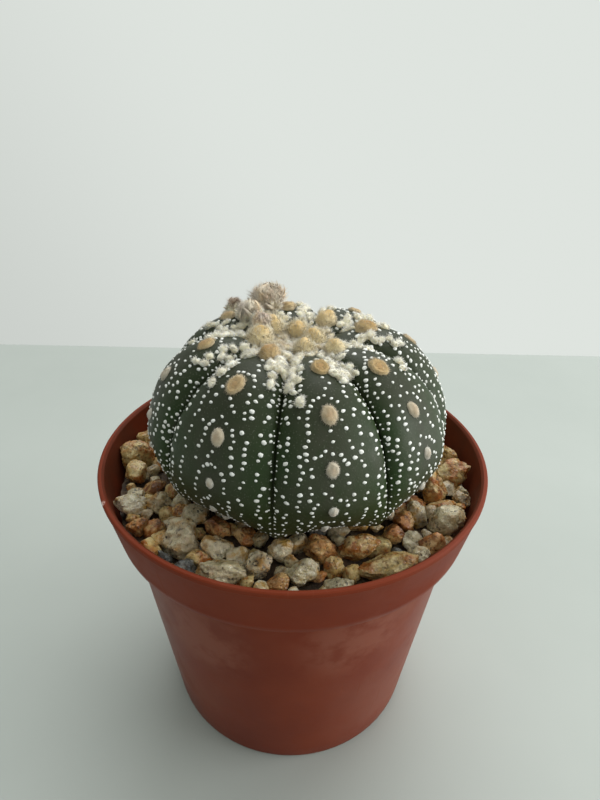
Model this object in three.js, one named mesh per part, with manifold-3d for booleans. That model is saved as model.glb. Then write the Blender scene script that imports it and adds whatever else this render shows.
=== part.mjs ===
// A star cactus in its plastic nursery pot, in millimetres, +Z up, standing on z = 0.
// The front, with the three broadest ribs in view, faces -Y.
//
// The pieces are a moulded pot with a collar and drain holes, the potting mix that fills it, the
// crushed-stone top dressing, the plant itself (a ribbed dome on a taproot, with its woolly
// areoles and white flecks grown on it) and the dried remains of its flowers on the crown.

import * as THREE from "three";
import { mergeVertices } from "three/addons/utils/BufferGeometryUtils.js";
import Module from "manifold-3d";

const wasm = await Module();
wasm.setup();

// ---------------------------------------------------------------- driving dimensions

const POT = {
  height: 68.6,
  rimRadius: 42.5, // outside of the lip
  lipHeight: 1.3,
  lipWidth: 1.6,
  lipOverhang: 0.7, // how far the lip stands proud of the collar
  collarFootRadius: 40.3,
  collarFootHeight: 56.4,
  wallTopRadius: 37.7, // just under the collar
  baseRadius: 31.2,
  baseRounding: 0.7,
  wall: 0.9,
  floor: 1.1,
  footWidth: 3.0,
  footHeight: 1.5, // the floor stands this far off the table
  drainHoles: 8,
  drainRadius: 2.6,
  drainCircle: 21.5,
};
const CLEARANCE = 0.35; // between touching pieces
const MIX_TOP = 57.9;
const GRIT_BED = { bottom: MIX_TOP + CLEARANCE, top: 61.6, bank: 2.4 };
const STEM = {
  x: 1.0, // the plant sits a little right of the pot's axis
  y: -0.2,
  furrowDepth: 1.9,
  tuck: 1.5, // how far the lower crests draw in behind the furrows
  room: 0.8, // from the crest line to the stones round it, past the flecks
};
const ROUND = 56; // facets round the pot and what fills it

// ---------------------------------------------------------------- small helpers

const radians = THREE.MathUtils.degToRad;
const { lerp, clamp, smoothstep } = THREE.MathUtils;

// The same draws every run, between 0 and 1.
function seededRandom(seed) {
  let state = seed;
  return () => {
    state = (state * 16807) % 2147483647;
    return state / 2147483647;
  };
}

function solidOf(geometry) {
  const bare = geometry.clone();
  bare.deleteAttribute("normal");
  bare.deleteAttribute("uv");
  const merged = mergeVertices(bare, 1e-4);
  const mesh = new wasm.Mesh({
    numProp: 3,
    vertProperties: merged.attributes.position.array,
    triVerts: new Uint32Array(merged.index.array),
  });
  return new wasm.Manifold(mesh);
}

function geometryOf(solid) {
  const mesh = solid.getMesh();
  const points = new Float32Array(mesh.numVert * 3);
  for (let i = 0; i < mesh.numVert; i++) {
    points.set(mesh.vertProperties.subarray(i * mesh.numProp, i * mesh.numProp + 3), i * 3);
  }
  return new THREE.BufferGeometry()
    .setAttribute("position", new THREE.BufferAttribute(points, 3))
    .setIndex(new THREE.BufferAttribute(mesh.triVerts, 1));
}

function union(solids) {
  let level = solids;
  while (level.length > 1) {
    const next = [];
    for (let i = 0; i < level.length; i += 2) {
      next.push(i + 1 < level.length ? level[i].add(level[i + 1]) : level[i]);
    }
    level = next;
  }
  return level[0];
}

// The largest body of a solid, without any scrap that a cut left beside it.
function mainBody(solid) {
  return solid.decompose().sort((a, b) => b.volume() - a.volume())[0];
}

// A profile of [radius, height] pairs turned about the vertical through (x, y).
function turned(profile, segments = ROUND, x = 0, y = 0) {
  const points = profile.map(([radius, height]) => new THREE.Vector2(radius, height));
  return new THREE.LatheGeometry(points, segments).rotateX(Math.PI / 2).translate(x, y, 0);
}

// Moves a geometry made about the origin, with its own +Z as outwards, onto a surface.
function seatedOn(geometry, point, normal, turn = 0) {
  const upright = new THREE.Quaternion().setFromUnitVectors(new THREE.Vector3(0, 0, 1), normal);
  const spin = new THREE.Quaternion().setFromAxisAngle(new THREE.Vector3(0, 0, 1), turn);
  return geometry
    .applyQuaternion(upright.multiply(spin))
    .translate(point.x, point.y, point.z);
}

// ---------------------------------------------------------------- the pot

const INNER_BASE_HEIGHT = POT.footHeight + POT.floor;

// Outer radius of the straight wall at a height, between the base and the collar.
function wallRadius(height) {
  return lerp(POT.baseRadius, POT.wallTopRadius, height / POT.collarFootHeight);
}

// Inner radius of the pot at a height, through the wall, the collar's step and the lip.
function innerRadius(height) {
  if (height < POT.collarFootHeight) return wallRadius(height) - POT.wall;
  const share = (height - POT.collarFootHeight) / (POT.height - POT.collarFootHeight);
  return lerp(POT.collarFootRadius - POT.wall, POT.rimRadius - POT.lipWidth, share);
}

function potSolid() {
  const lipFoot = POT.height - POT.lipHeight;
  const edge = 0.4; // the lip's rounded edges
  const profile = [
    [0, POT.footHeight],
    [POT.baseRadius - POT.footWidth - 0.4, POT.footHeight],
    [POT.baseRadius - POT.footWidth, 0],
    [POT.baseRadius - POT.baseRounding, 0],
    [wallRadius(POT.baseRounding), POT.baseRounding],
    [POT.wallTopRadius, POT.collarFootHeight],
    [POT.collarFootRadius - 0.3, POT.collarFootHeight],
    [POT.collarFootRadius, POT.collarFootHeight + 0.4],
    [POT.rimRadius - POT.lipOverhang, lipFoot],
    [POT.rimRadius, lipFoot + 0.3],
    [POT.rimRadius, POT.height - edge],
    [POT.rimRadius - edge, POT.height],
    [POT.rimRadius - POT.lipWidth + edge, POT.height],
    [POT.rimRadius - POT.lipWidth, POT.height - edge],
    [innerRadius(POT.collarFootHeight + 1.0), POT.collarFootHeight + 1.0],
    [POT.wallTopRadius - POT.wall, POT.collarFootHeight - 0.2],
    [innerRadius(INNER_BASE_HEIGHT + 0.8), INNER_BASE_HEIGHT + 0.8],
    [innerRadius(INNER_BASE_HEIGHT) - 0.8, INNER_BASE_HEIGHT],
    [0, INNER_BASE_HEIGHT],
  ];
  let pot = solidOf(turned(profile));
  const drill = (x, y) => {
    const bore = new THREE.CylinderGeometry(POT.drainRadius, POT.drainRadius, 4 * POT.floor, 12);
    return solidOf(bore.rotateX(Math.PI / 2).translate(x, y, INNER_BASE_HEIGHT));
  };
  pot = pot.subtract(drill(0, 0));
  for (let i = 0; i < POT.drainHoles; i++) {
    const angle = ((i + 0.5) / POT.drainHoles) * 2 * Math.PI;
    const x = POT.drainCircle * Math.cos(angle);
    const y = POT.drainCircle * Math.sin(angle);
    pot = pot.subtract(drill(x, y));
  }
  return pot;
}

// ---------------------------------------------------------------- the plant's form

// The crest line of a rib, from the crown's dip over the shoulder to the underside.
const CREST = [
  [0, 93.2],
  [4, 93.7],
  [8, 94.9],
  [12.5, 96.0],
  [17, 96.2],
  [22, 94.6],
  [26.5, 91.0],
  [30, 85.8],
  [31.9, 80],
  [32.3, 76],
  [31.4, 72],
  [29.4, 68.6],
  [26.3, 66],
  [21, 64.2],
  [14, 63],
  [8, 62],
];
const CREST_CURVE = new THREE.CatmullRomCurve3(
  CREST.map(([radius, height]) => new THREE.Vector3(radius, 0, height)),
);
const CREST_LENGTH = CREST_CURVE.getLength();

// The taproot, below the dome's underside.
const ROOT = [
  [7.0, 59],
  [7.4, 52],
  [4.6, 37],
  [1.4, 23],
];
const ROOT_TIP = 19;

// Each rib: the furrow on its clockwise side, the line of its areoles, and how far its
// lowest-numbered areole is round the growth curve, all in degrees.
const RIBS = [
  { furrow: -98, crest: -79.5, phase: 5.6 },
  { furrow: -57.5, crest: -41, phase: 9.4 },
  { furrow: -14.5, crest: 9, phase: 3.2 },
  { furrow: 32, crest: 55, phase: 10.2 },
  { furrow: 78, crest: 101, phase: 4.8 },
  { furrow: 124.5, crest: 147, phase: 8.0 },
  { furrow: 170.5, crest: 197, phase: 8.7 },
  { furrow: 216, crest: 241.5, phase: 1.2 },
];

function furrowAfter(index) {
  return index + 1 < RIBS.length ? RIBS[index + 1].furrow : RIBS[0].furrow + 360;
}

// Place across a rib, -1 and 1 at its furrows and 0 on its crest, turned into an azimuth.
function ribAzimuth(index, across) {
  const rib = RIBS[index];
  const edge = across < 0 ? rib.furrow : furrowAfter(index);
  return radians(lerp(rib.crest, edge, Math.abs(across)));
}

// Distance along the crest line, in mm from the crown's centre, as a radius and a height.
function crestPoint(distance) {
  const point = CREST_CURVE.getPointAt(clamp(distance / CREST_LENGTH, 0, 1));
  return [point.x, point.z];
}

// How far the skin stands in from the crest line. The flanks are full and round and close
// steeply on a narrow furrow. Low down, the crest itself draws in instead.
function inset(distance, across) {
  const side = Math.abs(across);
  const closing = 1 - (1 - side ** 4) ** 0.5;
  const swelling = smoothstep(distance, 3, 16);
  const lower = smoothstep(distance, 44, 56);
  const furrow = STEM.furrowDepth * swelling * (0.72 * closing + 0.28 * side ** 2);
  return lerp(furrow, 0.5 * furrow, lower) + STEM.tuck * lower * (1 - side ** 2);
}

function skinPoint(index, distance, across) {
  const [radius, height] = crestPoint(distance);
  const [before, below] = [crestPoint(distance - 0.5), crestPoint(distance + 0.5)];
  const slope = new THREE.Vector2(below[0] - before[0], below[1] - before[1]).normalize();
  const depth = inset(distance, across);
  const azimuth = ribAzimuth(index, across);
  const reach = Math.max(radius + slope.y * depth, 0);
  return new THREE.Vector3(
    STEM.x + reach * Math.cos(azimuth),
    STEM.y + reach * Math.sin(azimuth),
    height - slope.x * depth,
  );
}

function skinNormal(index, distance, across) {
  const step = 0.04;
  const along = skinPoint(index, distance + 0.4, across).sub(
    skinPoint(index, distance - 0.4, across),
  );
  const round = skinPoint(index, distance, Math.min(across + step, 1)).sub(
    skinPoint(index, distance, Math.max(across - step, -1)),
  );
  return along.cross(round).normalize();
}

const SKIN_STEPS = [2.5, 5, 8, 12, 16, 20, 24, 28, 32, 36, 40, 44, 48, 52, 56, 61, 74];
const RIB_STEPS = [-1, -0.9, -0.6, 0, 0.6, 0.9];

function stemSolid() {
  const rings = SKIN_STEPS.map((distance) =>
    RIBS.flatMap((_, index) => RIB_STEPS.map((across) => skinPoint(index, distance, across))),
  );
  const columns = rings[0].length;
  const turn = rings[0].map((_, i) => {
    const index = Math.floor(i / RIB_STEPS.length);
    return ribAzimuth(index, RIB_STEPS[i % RIB_STEPS.length]);
  });
  for (const [radius, height] of ROOT) {
    rings.push(
      turn.map(
        (azimuth) =>
          new THREE.Vector3(
            STEM.x + radius * Math.cos(azimuth),
            STEM.y + radius * Math.sin(azimuth),
            height,
          ),
      ),
    );
  }
  const points = rings.flat();
  const crown = points.push(new THREE.Vector3(STEM.x, STEM.y, CREST[0][1])) - 1;
  const tip = points.push(new THREE.Vector3(STEM.x, STEM.y, ROOT_TIP)) - 1;
  const faces = [];
  for (let i = 0; i < columns; i++) {
    const next = (i + 1) % columns;
    faces.push(crown, i, next);
    for (let ring = 0; ring + 1 < rings.length; ring++) {
      const [a, b] = [ring * columns + i, ring * columns + next];
      faces.push(a, a + columns, b, b, a + columns, b + columns);
    }
    const last = (rings.length - 1) * columns;
    faces.push(last + i, tip, last + next);
  }
  const skin = new THREE.BufferGeometry().setFromPoints(points);
  skin.setIndex(faces);
  return solidOf(skin);
}

// The plant's outline with room round it, which the grit and the mix are hollowed by.
function stemEnvelope(room) {
  const dome = CREST.slice(6).map(([radius, height]) => [radius + room, height - room]);
  const root = ROOT.map(([radius, height]) => [radius + CLEARANCE, height]);
  const profile = [[0, ROOT_TIP - CLEARANCE], ...root.reverse(), ...dome.reverse(), [0, CREST[6][1]]];
  return solidOf(turned(profile, 32, STEM.x, STEM.y));
}

// ---------------------------------------------------------------- what grows on the skin

// Dried flowers on the crown: azimuth and distance from the plant's axis, height of the middle,
// half width, depth and height, and how many papery scales stand out.
const FLOWERS = [
  { name: "dried_flower_large", azimuth: 119, out: 15.2, level: 98.7, size: [3.3, 2.9, 3.4], scales: 16 },
  { name: "dried_flower_left", azimuth: 146, out: 13.0, level: 97.2, size: [2.4, 2.2, 3.0], scales: 13 },
  { name: "dried_flower_front", azimuth: 158, out: 8.3, level: 96.5, size: [1.8, 1.6, 2.3], scales: 10 },
  { name: "dried_bud_small", azimuth: 139, out: 19.6, level: 96.6, size: [1.1, 1.1, 1.9], scales: 7 },
];

function flowerCentre({ azimuth, out, level }) {
  const angle = radians(azimuth);
  return new THREE.Vector3(
    STEM.x + out * Math.cos(angle),
    STEM.y + out * Math.sin(angle),
    level,
  );
}

function clearOfFlowers(point, radius) {
  return FLOWERS.every(
    (flower) => flowerCentre(flower).distanceTo(point) > Math.max(...flower.size) + radius + CLEARANCE,
  );
}

// Areoles come off the crown one after another along each crest and crowd again low down,
// where the oldest growth is.
const AREOLE = { reach: 57.5, step: 11.2, last: 66 };

function areolesOf(index) {
  const found = [];
  for (let turn = RIBS[index].phase; turn < AREOLE.last; turn += AREOLE.step) {
    const distance = AREOLE.reach * Math.sin(radians(turn));
    const age = smoothstep(distance, 10, 52);
    found.push({ distance, wide: lerp(1.95, 0.65, age), long: lerp(2.15, 0.7, age ** 1.5) });
  }
  return found;
}

// A low cushion of felt: an ellipsoid sunk to half its height in the skin.
function cushion(wide, long, high, detail) {
  const shape = detail ? new THREE.IcosahedronGeometry(1, 0) : new THREE.OctahedronGeometry(1, 0);
  return shape.scale(long, wide, high);
}

function onSkin(shape, index, distance, across) {
  const point = skinPoint(index, distance, across);
  const normal = skinNormal(index, distance, across);
  return solidOf(seatedOn(shape, point, normal, ribAzimuth(index, across)));
}

function areoleSolids() {
  const solids = [];
  RIBS.forEach((_, index) => {
    for (const { distance, wide, long } of areolesOf(index)) {
      if (distance < 2.5) continue;
      if (!clearOfFlowers(skinPoint(index, distance, 0), wide)) continue;
      const high = lerp(1.5, 0.7, smoothstep(distance, 12, 48));
      solids.push(onSkin(cushion(wide, long, high, true), index, distance, 0));
    }
  });
  return solids;
}

// White flecks sit in nested arches over the areoles: high on the crest, falling towards the
// furrows. Near the crown they swell into tufts of wool.
const FLECK = { firstArch: 2.4, archStep: 6.9, fall: 13, lastArch: 50, spacing: 0.4 };

function fleckSolids() {
  const random = seededRandom(1907);
  const solids = [];
  RIBS.forEach((_, index) => {
    for (let arch = FLECK.firstArch; arch < FLECK.lastArch; arch += FLECK.archStep) {
      for (let across = -0.8; across <= 0.81; across += FLECK.spacing) {
        const shift = (random() - 0.5) * 0.12;
        const place = across + shift;
        const distance = arch + FLECK.fall * Math.abs(place) ** 1.5 * smoothstep(arch, 2, 24);
        const tuft = 1 - smoothstep(distance, 13, 25);
        const radius = lerp(0.52, 1.15, tuft) * (0.85 + 0.3 * random());
        const beside = areolesOf(index).some(
          (areole) => Math.hypot(areole.distance - distance, place * 9) < areole.long + radius,
        );
        const point = skinPoint(index, distance, place);
        if (beside || distance > 51) continue;
        if (!clearOfFlowers(point, radius)) continue;
        const high = lerp(0.4, 1.0, tuft);
        solids.push(onSkin(cushion(radius, radius, high, false), index, distance, place));
      }
    }
  });
  return solids;
}

function cactusSolid() {
  return mainBody(union([stemSolid(), union(areoleSolids()), union(fleckSolids())]));
}

// ---------------------------------------------------------------- dried flowers

function flowerSolid(flower) {
  const random = seededRandom(Math.round(flower.azimuth * 100 + flower.out * 10));
  const centre = flowerCentre(flower);
  const [wide, deep, high] = flower.size;
  const core = new THREE.IcosahedronGeometry(1, 1).scale(wide * 0.8, deep * 0.8, high * 0.8);
  const solids = [solidOf(core.translate(centre.x, centre.y, centre.z))];
  for (let i = 0; i < flower.scales; i++) {
    const height = lerp(0.95, -0.15, (i + 0.5) / flower.scales);
    const angle = i * 2.4 + random();
    const flat = Math.sqrt(1 - height * height);
    const outward = new THREE.Vector3(flat * Math.cos(angle), flat * Math.sin(angle), height);
    const seat = outward.clone().multiply(new THREE.Vector3(wide, deep, high)).multiplyScalar(0.72);
    const lean = outward.add(new THREE.Vector3(-0.15, 0, 0.55)).normalize();
    const scale = new THREE.ConeGeometry(0.6, 2.6, 4).rotateX(Math.PI / 2);
    solids.push(solidOf(seatedOn(scale, centre.clone().add(seat), lean, random() * 3)));
  }
  return union(solids);
}

// The crown under a flower, which trims its foot to stand just off the skin.
function crownTrim() {
  const dome = CREST.slice(0, 9).map(([radius, height]) => [radius, height + CLEARANCE]);
  const profile = [[0, 80], [CREST[8][0], 80], ...dome.reverse()];
  return solidOf(turned(profile, 48, STEM.x, STEM.y));
}

// ---------------------------------------------------------------- the top dressing

// The stones that catch the eye, read round the pot: azimuth in degrees, distance from the
// pot's axis, and size across the view, into it and upwards, in mm.
const LANDMARK_STONES = [
  { azimuth: 164, out: 37.6, size: [4.2, 3.6, 4.0] },
  { azimuth: 177, out: 36.6, size: [6.2, 5.0, 6.6] },
  { azimuth: 203, out: 37.0, size: [6.2, 4.4, 4.0] },
  { azimuth: 207, out: 31.6, size: [4.8, 4.0, 5.0] },
  { azimuth: 213, out: 37.0, size: [3.6, 3.0, 3.2] },
  { azimuth: 217, out: 28.2, size: [3.6, 3.0, 3.0] },
  { azimuth: 229, out: 32.5, size: [7.6, 6.0, 6.4] },
  { azimuth: 237, out: 26.2, size: [4.2, 3.4, 3.6] },
  { azimuth: 239, out: 37.0, size: [3.8, 3.0, 3.2] },
  { azimuth: 243, out: 30.4, size: [5.0, 4.2, 4.4] },
  { azimuth: 249, out: 35.0, size: [8.0, 4.6, 4.4] },
  { azimuth: 250, out: 26.0, size: [3.9, 3.2, 3.2] },
  { azimuth: 259, out: 31.4, size: [4.2, 3.8, 4.0] },
  { azimuth: 266, out: 27.8, size: [3.9, 3.4, 4.2] },
  { azimuth: 266, out: 34.4, size: [4.0, 3.0, 3.0] },
  { azimuth: 274, out: 32.4, size: [4.8, 4.0, 4.4] },
  { azimuth: 282, out: 27.4, size: [5.6, 4.0, 4.6] },
  { azimuth: 284, out: 36.4, size: [4.4, 3.0, 3.0] },
  { azimuth: 296, out: 29.0, size: [7.4, 3.6, 4.4] },
  { azimuth: 301, out: 35.0, size: [9.2, 5.8, 4.6] },
  { azimuth: 312, out: 36.6, size: [3.8, 3.4, 3.6] },
  { azimuth: 313, out: 29.6, size: [3.6, 3.2, 3.6] },
  { azimuth: 328, out: 30.5, size: [3.4, 3.2, 5.0] },
  { azimuth: 329, out: 36.4, size: [6.0, 5.2, 6.6] },
  { azimuth: 345, out: 32.4, size: [5.0, 4.6, 6.8] },
  { azimuth: 345, out: 38.0, size: [3.2, 3.0, 3.2] },
  { azimuth: 356, out: 36.2, size: [6.4, 5.2, 6.0] },
  { azimuth: 9, out: 36.8, size: [4.6, 4.4, 5.0] },
];
const FILL_STONES = { tries: 1600, inner: 22, outer: 38.3, smallest: 1.9, largest: 3.0, gap: 0.98 };

// Landmark stones first, then smaller ones wherever they fit between, up to the pot's wall.
function stonePlaces() {
  const places = LANDMARK_STONES.map(({ azimuth, out, size }) => ({
    x: out * Math.cos(radians(azimuth)),
    y: out * Math.sin(radians(azimuth)),
    size,
    turn: 0,
    reach: (size[0] + size[1]) / 4,
  }));
  const random = seededRandom(4243);
  for (let i = 0; i < FILL_STONES.tries; i++) {
    const angle = random() * 2 * Math.PI;
    const out = lerp(FILL_STONES.inner, FILL_STONES.outer, random() ** 0.7);
    const reach = lerp(FILL_STONES.smallest, FILL_STONES.largest, random() ** 1.6);
    const slimness = lerp(0.7, 0.95, random());
    const [x, y] = [out * Math.cos(angle), out * Math.sin(angle)];
    if (out + reach > 39.4) continue;
    const crowded = places.some((stone) => {
      const gap = Math.hypot(stone.x - x, stone.y - y);
      return gap < (stone.reach + reach) * FILL_STONES.gap;
    });
    if (crowded) continue;
    const size = [2 * reach, 2 * reach * slimness, 1.9 * reach * slimness];
    places.push({ x, y, size, reach, turn: random() * Math.PI });
  }
  return places;
}

// The layer is level by the wall and banked up under the plant.
function gritLevel(out) {
  return GRIT_BED.top + GRIT_BED.bank * (1 - smoothstep(out, 23, 33));
}

// A crushed stone: a box with its corners knocked about, turned about the vertical and laid
// over a little.
function stoneSolid({ x, y, size, turn }, random) {
  const [long, wide, high] = size;
  const stone = new THREE.BoxGeometry(1, 1, 1);
  stone.deleteAttribute("normal");
  stone.deleteAttribute("uv");
  const block = mergeVertices(stone);
  const corner = block.attributes.position;
  for (let i = 0; i < corner.count; i++) {
    const [a, b, c] = [random(), random(), random()].map((draw) => lerp(0.62, 1.04, draw));
    corner.setXYZ(i, corner.getX(i) * a, corner.getY(i) * b, corner.getZ(i) * c);
  }
  block.scale(long, wide, high);
  block.rotateX((random() - 0.5) * 0.5);
  block.rotateY((random() - 0.5) * 0.5);
  block.rotateZ(turn);
  return solidOf(block.translate(x, y, gritLevel(Math.hypot(x, y)) + high * 0.18));
}

function gritSolid() {
  const random = seededRandom(88);
  const outer = innerRadius(GRIT_BED.bottom) - CLEARANCE;
  const bank = [outer, 33, 28, 23].map((out) => [out, gritLevel(out)]);
  const bed = solidOf(
    turned([[0, GRIT_BED.bottom], [outer, GRIT_BED.bottom], ...bank, [0, gritLevel(0)]]),
  );
  const stones = stonePlaces().map((place) => stoneSolid(place, random));
  const floor = GRIT_BED.bottom;
  const roof = POT.height;
  const sleeve = solidOf(
    turned([
      [0, floor],
      [outer, floor],
      [innerRadius(roof) - CLEARANCE, roof],
      [0, roof],
    ]),
  );
  const layer = union([bed, union(stones)]).intersect(sleeve);
  return mainBody(layer.subtract(stemEnvelope(STEM.room)));
}

function mixSolid() {
  const bottom = INNER_BASE_HEIGHT + CLEARANCE;
  const step = POT.collarFootHeight - 1.4; // below the inside of the collar's step
  const rounding = 1;
  const profile = [
    [0, bottom],
    [innerRadius(bottom) - CLEARANCE - rounding, bottom],
    [innerRadius(bottom + rounding) - CLEARANCE, bottom + rounding],
    [innerRadius(step) - CLEARANCE, step],
    [innerRadius(step) - CLEARANCE, MIX_TOP],
    [0, MIX_TOP],
  ];
  return mainBody(solidOf(turned(profile)).subtract(stemEnvelope(STEM.room)));
}

// ---------------------------------------------------------------- the assembly

const plant = new THREE.Group();

function addPiece(name, solid, color, roughness) {
  const material = new THREE.MeshStandardMaterial({ color, roughness, metalness: 0 });
  const mesh = new THREE.Mesh(geometryOf(solid), material);
  mesh.name = name;
  plant.add(mesh);
}

addPiece("pot", potSolid(), 0x84402e, 0.5);
addPiece("potting_mix", mixSolid(), 0x3b2d22, 1.0);
addPiece("grit", gritSolid(), 0xa98a64, 0.85);
addPiece("cactus", cactusSolid(), 0x3c4a38, 0.7);
const trim = crownTrim();
for (const flower of FLOWERS) {
  addPiece(flower.name, mainBody(flowerSolid(flower).subtract(trim)), 0x9a8472, 1.0);
}

export default plant;
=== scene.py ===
# %% [markdown]
# # A star cactus in its nursery pot
#
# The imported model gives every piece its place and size: a moulded pot, the potting mix in it, a
# layer of crushed stone, the plant, and the dried flowers on its crown. This lesson gives each of
# them the form and finish of the real thing. Everything is in metres, +Z is up, and the pot
# stands on z = 0 with its front towards -Y.

# %% Load the frame
import bisect
import math
import random
from contextlib import contextmanager

import bmesh
import bpy
from mathutils import Matrix, Vector, noise
from mathutils.bvhtree import BVHTree


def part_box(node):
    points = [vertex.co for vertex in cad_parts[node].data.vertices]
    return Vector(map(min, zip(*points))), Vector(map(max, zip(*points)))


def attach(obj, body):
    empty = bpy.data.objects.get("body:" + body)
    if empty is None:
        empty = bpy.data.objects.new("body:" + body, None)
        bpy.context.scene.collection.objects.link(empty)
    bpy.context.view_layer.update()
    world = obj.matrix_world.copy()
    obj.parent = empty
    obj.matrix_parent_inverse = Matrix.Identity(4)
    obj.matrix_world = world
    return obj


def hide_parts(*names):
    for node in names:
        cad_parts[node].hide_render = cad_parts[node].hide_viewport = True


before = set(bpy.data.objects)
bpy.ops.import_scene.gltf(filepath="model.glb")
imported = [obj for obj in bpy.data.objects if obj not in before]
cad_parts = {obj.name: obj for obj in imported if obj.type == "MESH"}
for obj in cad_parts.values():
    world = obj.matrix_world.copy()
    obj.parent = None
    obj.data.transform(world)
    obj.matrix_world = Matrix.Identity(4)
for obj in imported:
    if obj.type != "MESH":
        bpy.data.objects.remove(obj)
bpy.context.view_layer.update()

print("nodes:", ", ".join(sorted(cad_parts)))

# %% [markdown]
# Sizes are kept in millimetres, as a maker would measure them, and turned into metres where they
# are used. The pot's outer sizes are read from the frame. The rest repeat the model's own values.

# %% Driving sizes
MM = 0.001
pot_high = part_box("pot")[1]
RIM_RADIUS = pot_high.x / MM
POT_HEIGHT = pot_high.z / MM
LIP_WIDTH = 1.3
LIP_FOOT = POT_HEIGHT - 1.3
COLLAR_FOOT = (40.3, 56.4)      # radius and height of the collar's lower edge
WALL_TOP_RADIUS = 37.7
BASE_RADIUS = 31.2
WALL = 0.9
FLOOR_TOP = 2.6
STEM_AXIS = Vector((1.0, -0.2, 0.0))
GOLDEN_ANGLE = 2.39996          # radians: turns by it never line up
ANY_TURN = 6.28                 # radians: as good as a full turn for a random one
DRIED = ("dried_flower_large", "dried_flower_left", "dried_flower_front", "dried_bud_small")
print(f"the rim is {2 * RIM_RADIUS:.1f} mm across and {POT_HEIGHT:.1f} mm up")

# %% [markdown]
# A few helpers serve the whole lesson. An operator acts on whatever is selected, so each job
# begins with nothing selected, and the parts of a mesh to work on are then picked in code.


# %% Helpers for selecting
def start_clean():
    """Leaves edit mode and deselects everything."""
    if bpy.context.object and bpy.context.object.mode != "OBJECT":
        bpy.ops.object.mode_set(mode="OBJECT")
    bpy.ops.object.select_all(action="DESELECT")


def work_on(piece, mode="OBJECT"):
    """Makes one piece the selected and active one, and goes into the given mode."""
    start_clean()
    piece.select_set(True)
    bpy.context.view_layer.objects.active = piece
    bpy.ops.object.mode_set(mode=mode)


@contextmanager
def editing(piece):
    """Edit mode on one piece with all of it selected, and object mode again afterwards."""
    work_on(piece, "EDIT")
    bpy.ops.mesh.select_all(action="SELECT")
    yield
    bpy.ops.object.mode_set(mode="OBJECT")


def pick(piece, test):
    """In edit mode, selects just the vertices whose number and place pass the test."""
    bpy.ops.mesh.select_mode(type="VERT")
    bpy.ops.mesh.select_all(action="DESELECT")
    shape = bmesh.from_edit_mesh(piece.data)
    for number, vertex in enumerate(shape.verts):
        vertex.select = test(number, vertex.co)
    shape.select_flush_mode()
    bmesh.update_edit_mesh(piece.data)


def apply_modifier(piece, kind, **settings):
    """Adds a modifier, sets it and applies it."""
    work_on(piece)
    modifier = piece.modifiers.new(kind.title(), kind)
    for key, value in settings.items():
        setattr(modifier, key, value)
    bpy.ops.object.modifier_apply(modifier=modifier.name)


def roughen(piece, name, scale, strength, kind="CLOUDS", middle=0.5, coords="LOCAL"):
    """Pushes the surface out and in by a noise texture."""
    texture = bpy.data.textures.new(name, kind)
    texture.noise_scale = scale
    apply_modifier(
        piece, "DISPLACE", texture=texture, texture_coords=coords, strength=strength, mid_level=middle
    )


def shade(piece, angle=None):
    """Shades a piece smooth, or smooth only where faces meet at less than an angle."""
    work_on(piece)
    if angle is None:
        bpy.ops.object.shade_smooth()
    else:
        bpy.ops.object.shade_smooth_by_angle(angle=math.radians(angle))


# %% [markdown]
# Round pieces are made like turned work. One vertex is pulled along the outline, and the outline
# is then spun about the upright axis. The spin closes on itself, so its doubles are merged, and
# the faces are made to point outwards.


# %% Turning an outline
def turned(name, outline, steps):
    """A closed body of revolution from (radius, height) points in millimetres."""
    start_clean()
    bpy.ops.mesh.primitive_plane_add(size=MM, location=(0, 0, 0))
    piece = bpy.context.object
    piece.name = name
    with editing(piece):
        bpy.ops.mesh.merge(type="CENTER")
        bpy.ops.transform.translate(value=(outline[0][0] * MM, 0, outline[0][1] * MM))
        for here, there in zip(outline, outline[1:]):
            step = ((there[0] - here[0]) * MM, 0, (there[1] - here[1]) * MM)
            bpy.ops.mesh.extrude_vertices_move(TRANSFORM_OT_translate={"value": step})
        bpy.ops.mesh.select_all(action="SELECT")
        bpy.ops.mesh.spin(steps=steps, angle=math.tau, center=(0, 0, 0), axis=(0, 0, 1))
        bpy.ops.mesh.select_all(action="SELECT")
        bpy.ops.mesh.remove_doubles(threshold=0.004 * MM)
        bpy.ops.mesh.normals_make_consistent(inside=False)
    return piece


# %% [markdown]
# What repeats is modelled once and copied, each copy with its own mesh. A copy can carry a
# number of its own, its tone, which the materials read to make no two alike.


# %% Copying a pattern
def carry(piece, label, values):
    """Gives each vertex a number that a material can read."""
    attributes = piece.data.attributes
    attribute = attributes.get(label) or attributes.new(label, "FLOAT", "POINT")
    attribute.data.foreach_set("value", values)


def copies_of(patterns, places, name, tones=None):
    """One mesh from many copies: places is a list of (pattern number, matrix)."""
    start_clean()
    made = []
    for count, (kind, place) in enumerate(places):
        copy = patterns[kind].copy()
        copy.data = patterns[kind].data.copy()
        copy.matrix_world = place
        bpy.context.collection.objects.link(copy)
        carry(copy, "tone", [tones[count] if tones else 0.5] * len(copy.data.vertices))
        made.append(copy)
    for copy in made:
        copy.select_set(True)
    bpy.context.view_layer.objects.active = made[0]
    bpy.ops.object.join()
    bpy.ops.object.transform_apply(location=True, rotation=True, scale=True)
    made[0].name = name
    made[0].data.name = name
    return made[0]


def put_away(patterns):
    """Removes the patterns once their copies are made."""
    for pattern in patterns:
        bpy.data.objects.remove(pattern)


def settle(piece, slot, *nodes):
    """The piece rides on the one body and stands for CAD nodes. The slot is not used."""
    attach(piece, "root")
    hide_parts(*nodes)
    triangles = sum(len(face.vertices) - 2 for face in piece.data.polygons)
    print(f"{piece.name}: {triangles} triangles")


# %% [markdown]
# ## Finishes
#
# A material is a small network of nodes. To keep each one readable, a helper makes a node and
# sets its inputs by name, and a few more stand for the nodes that come up again and again.


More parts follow.
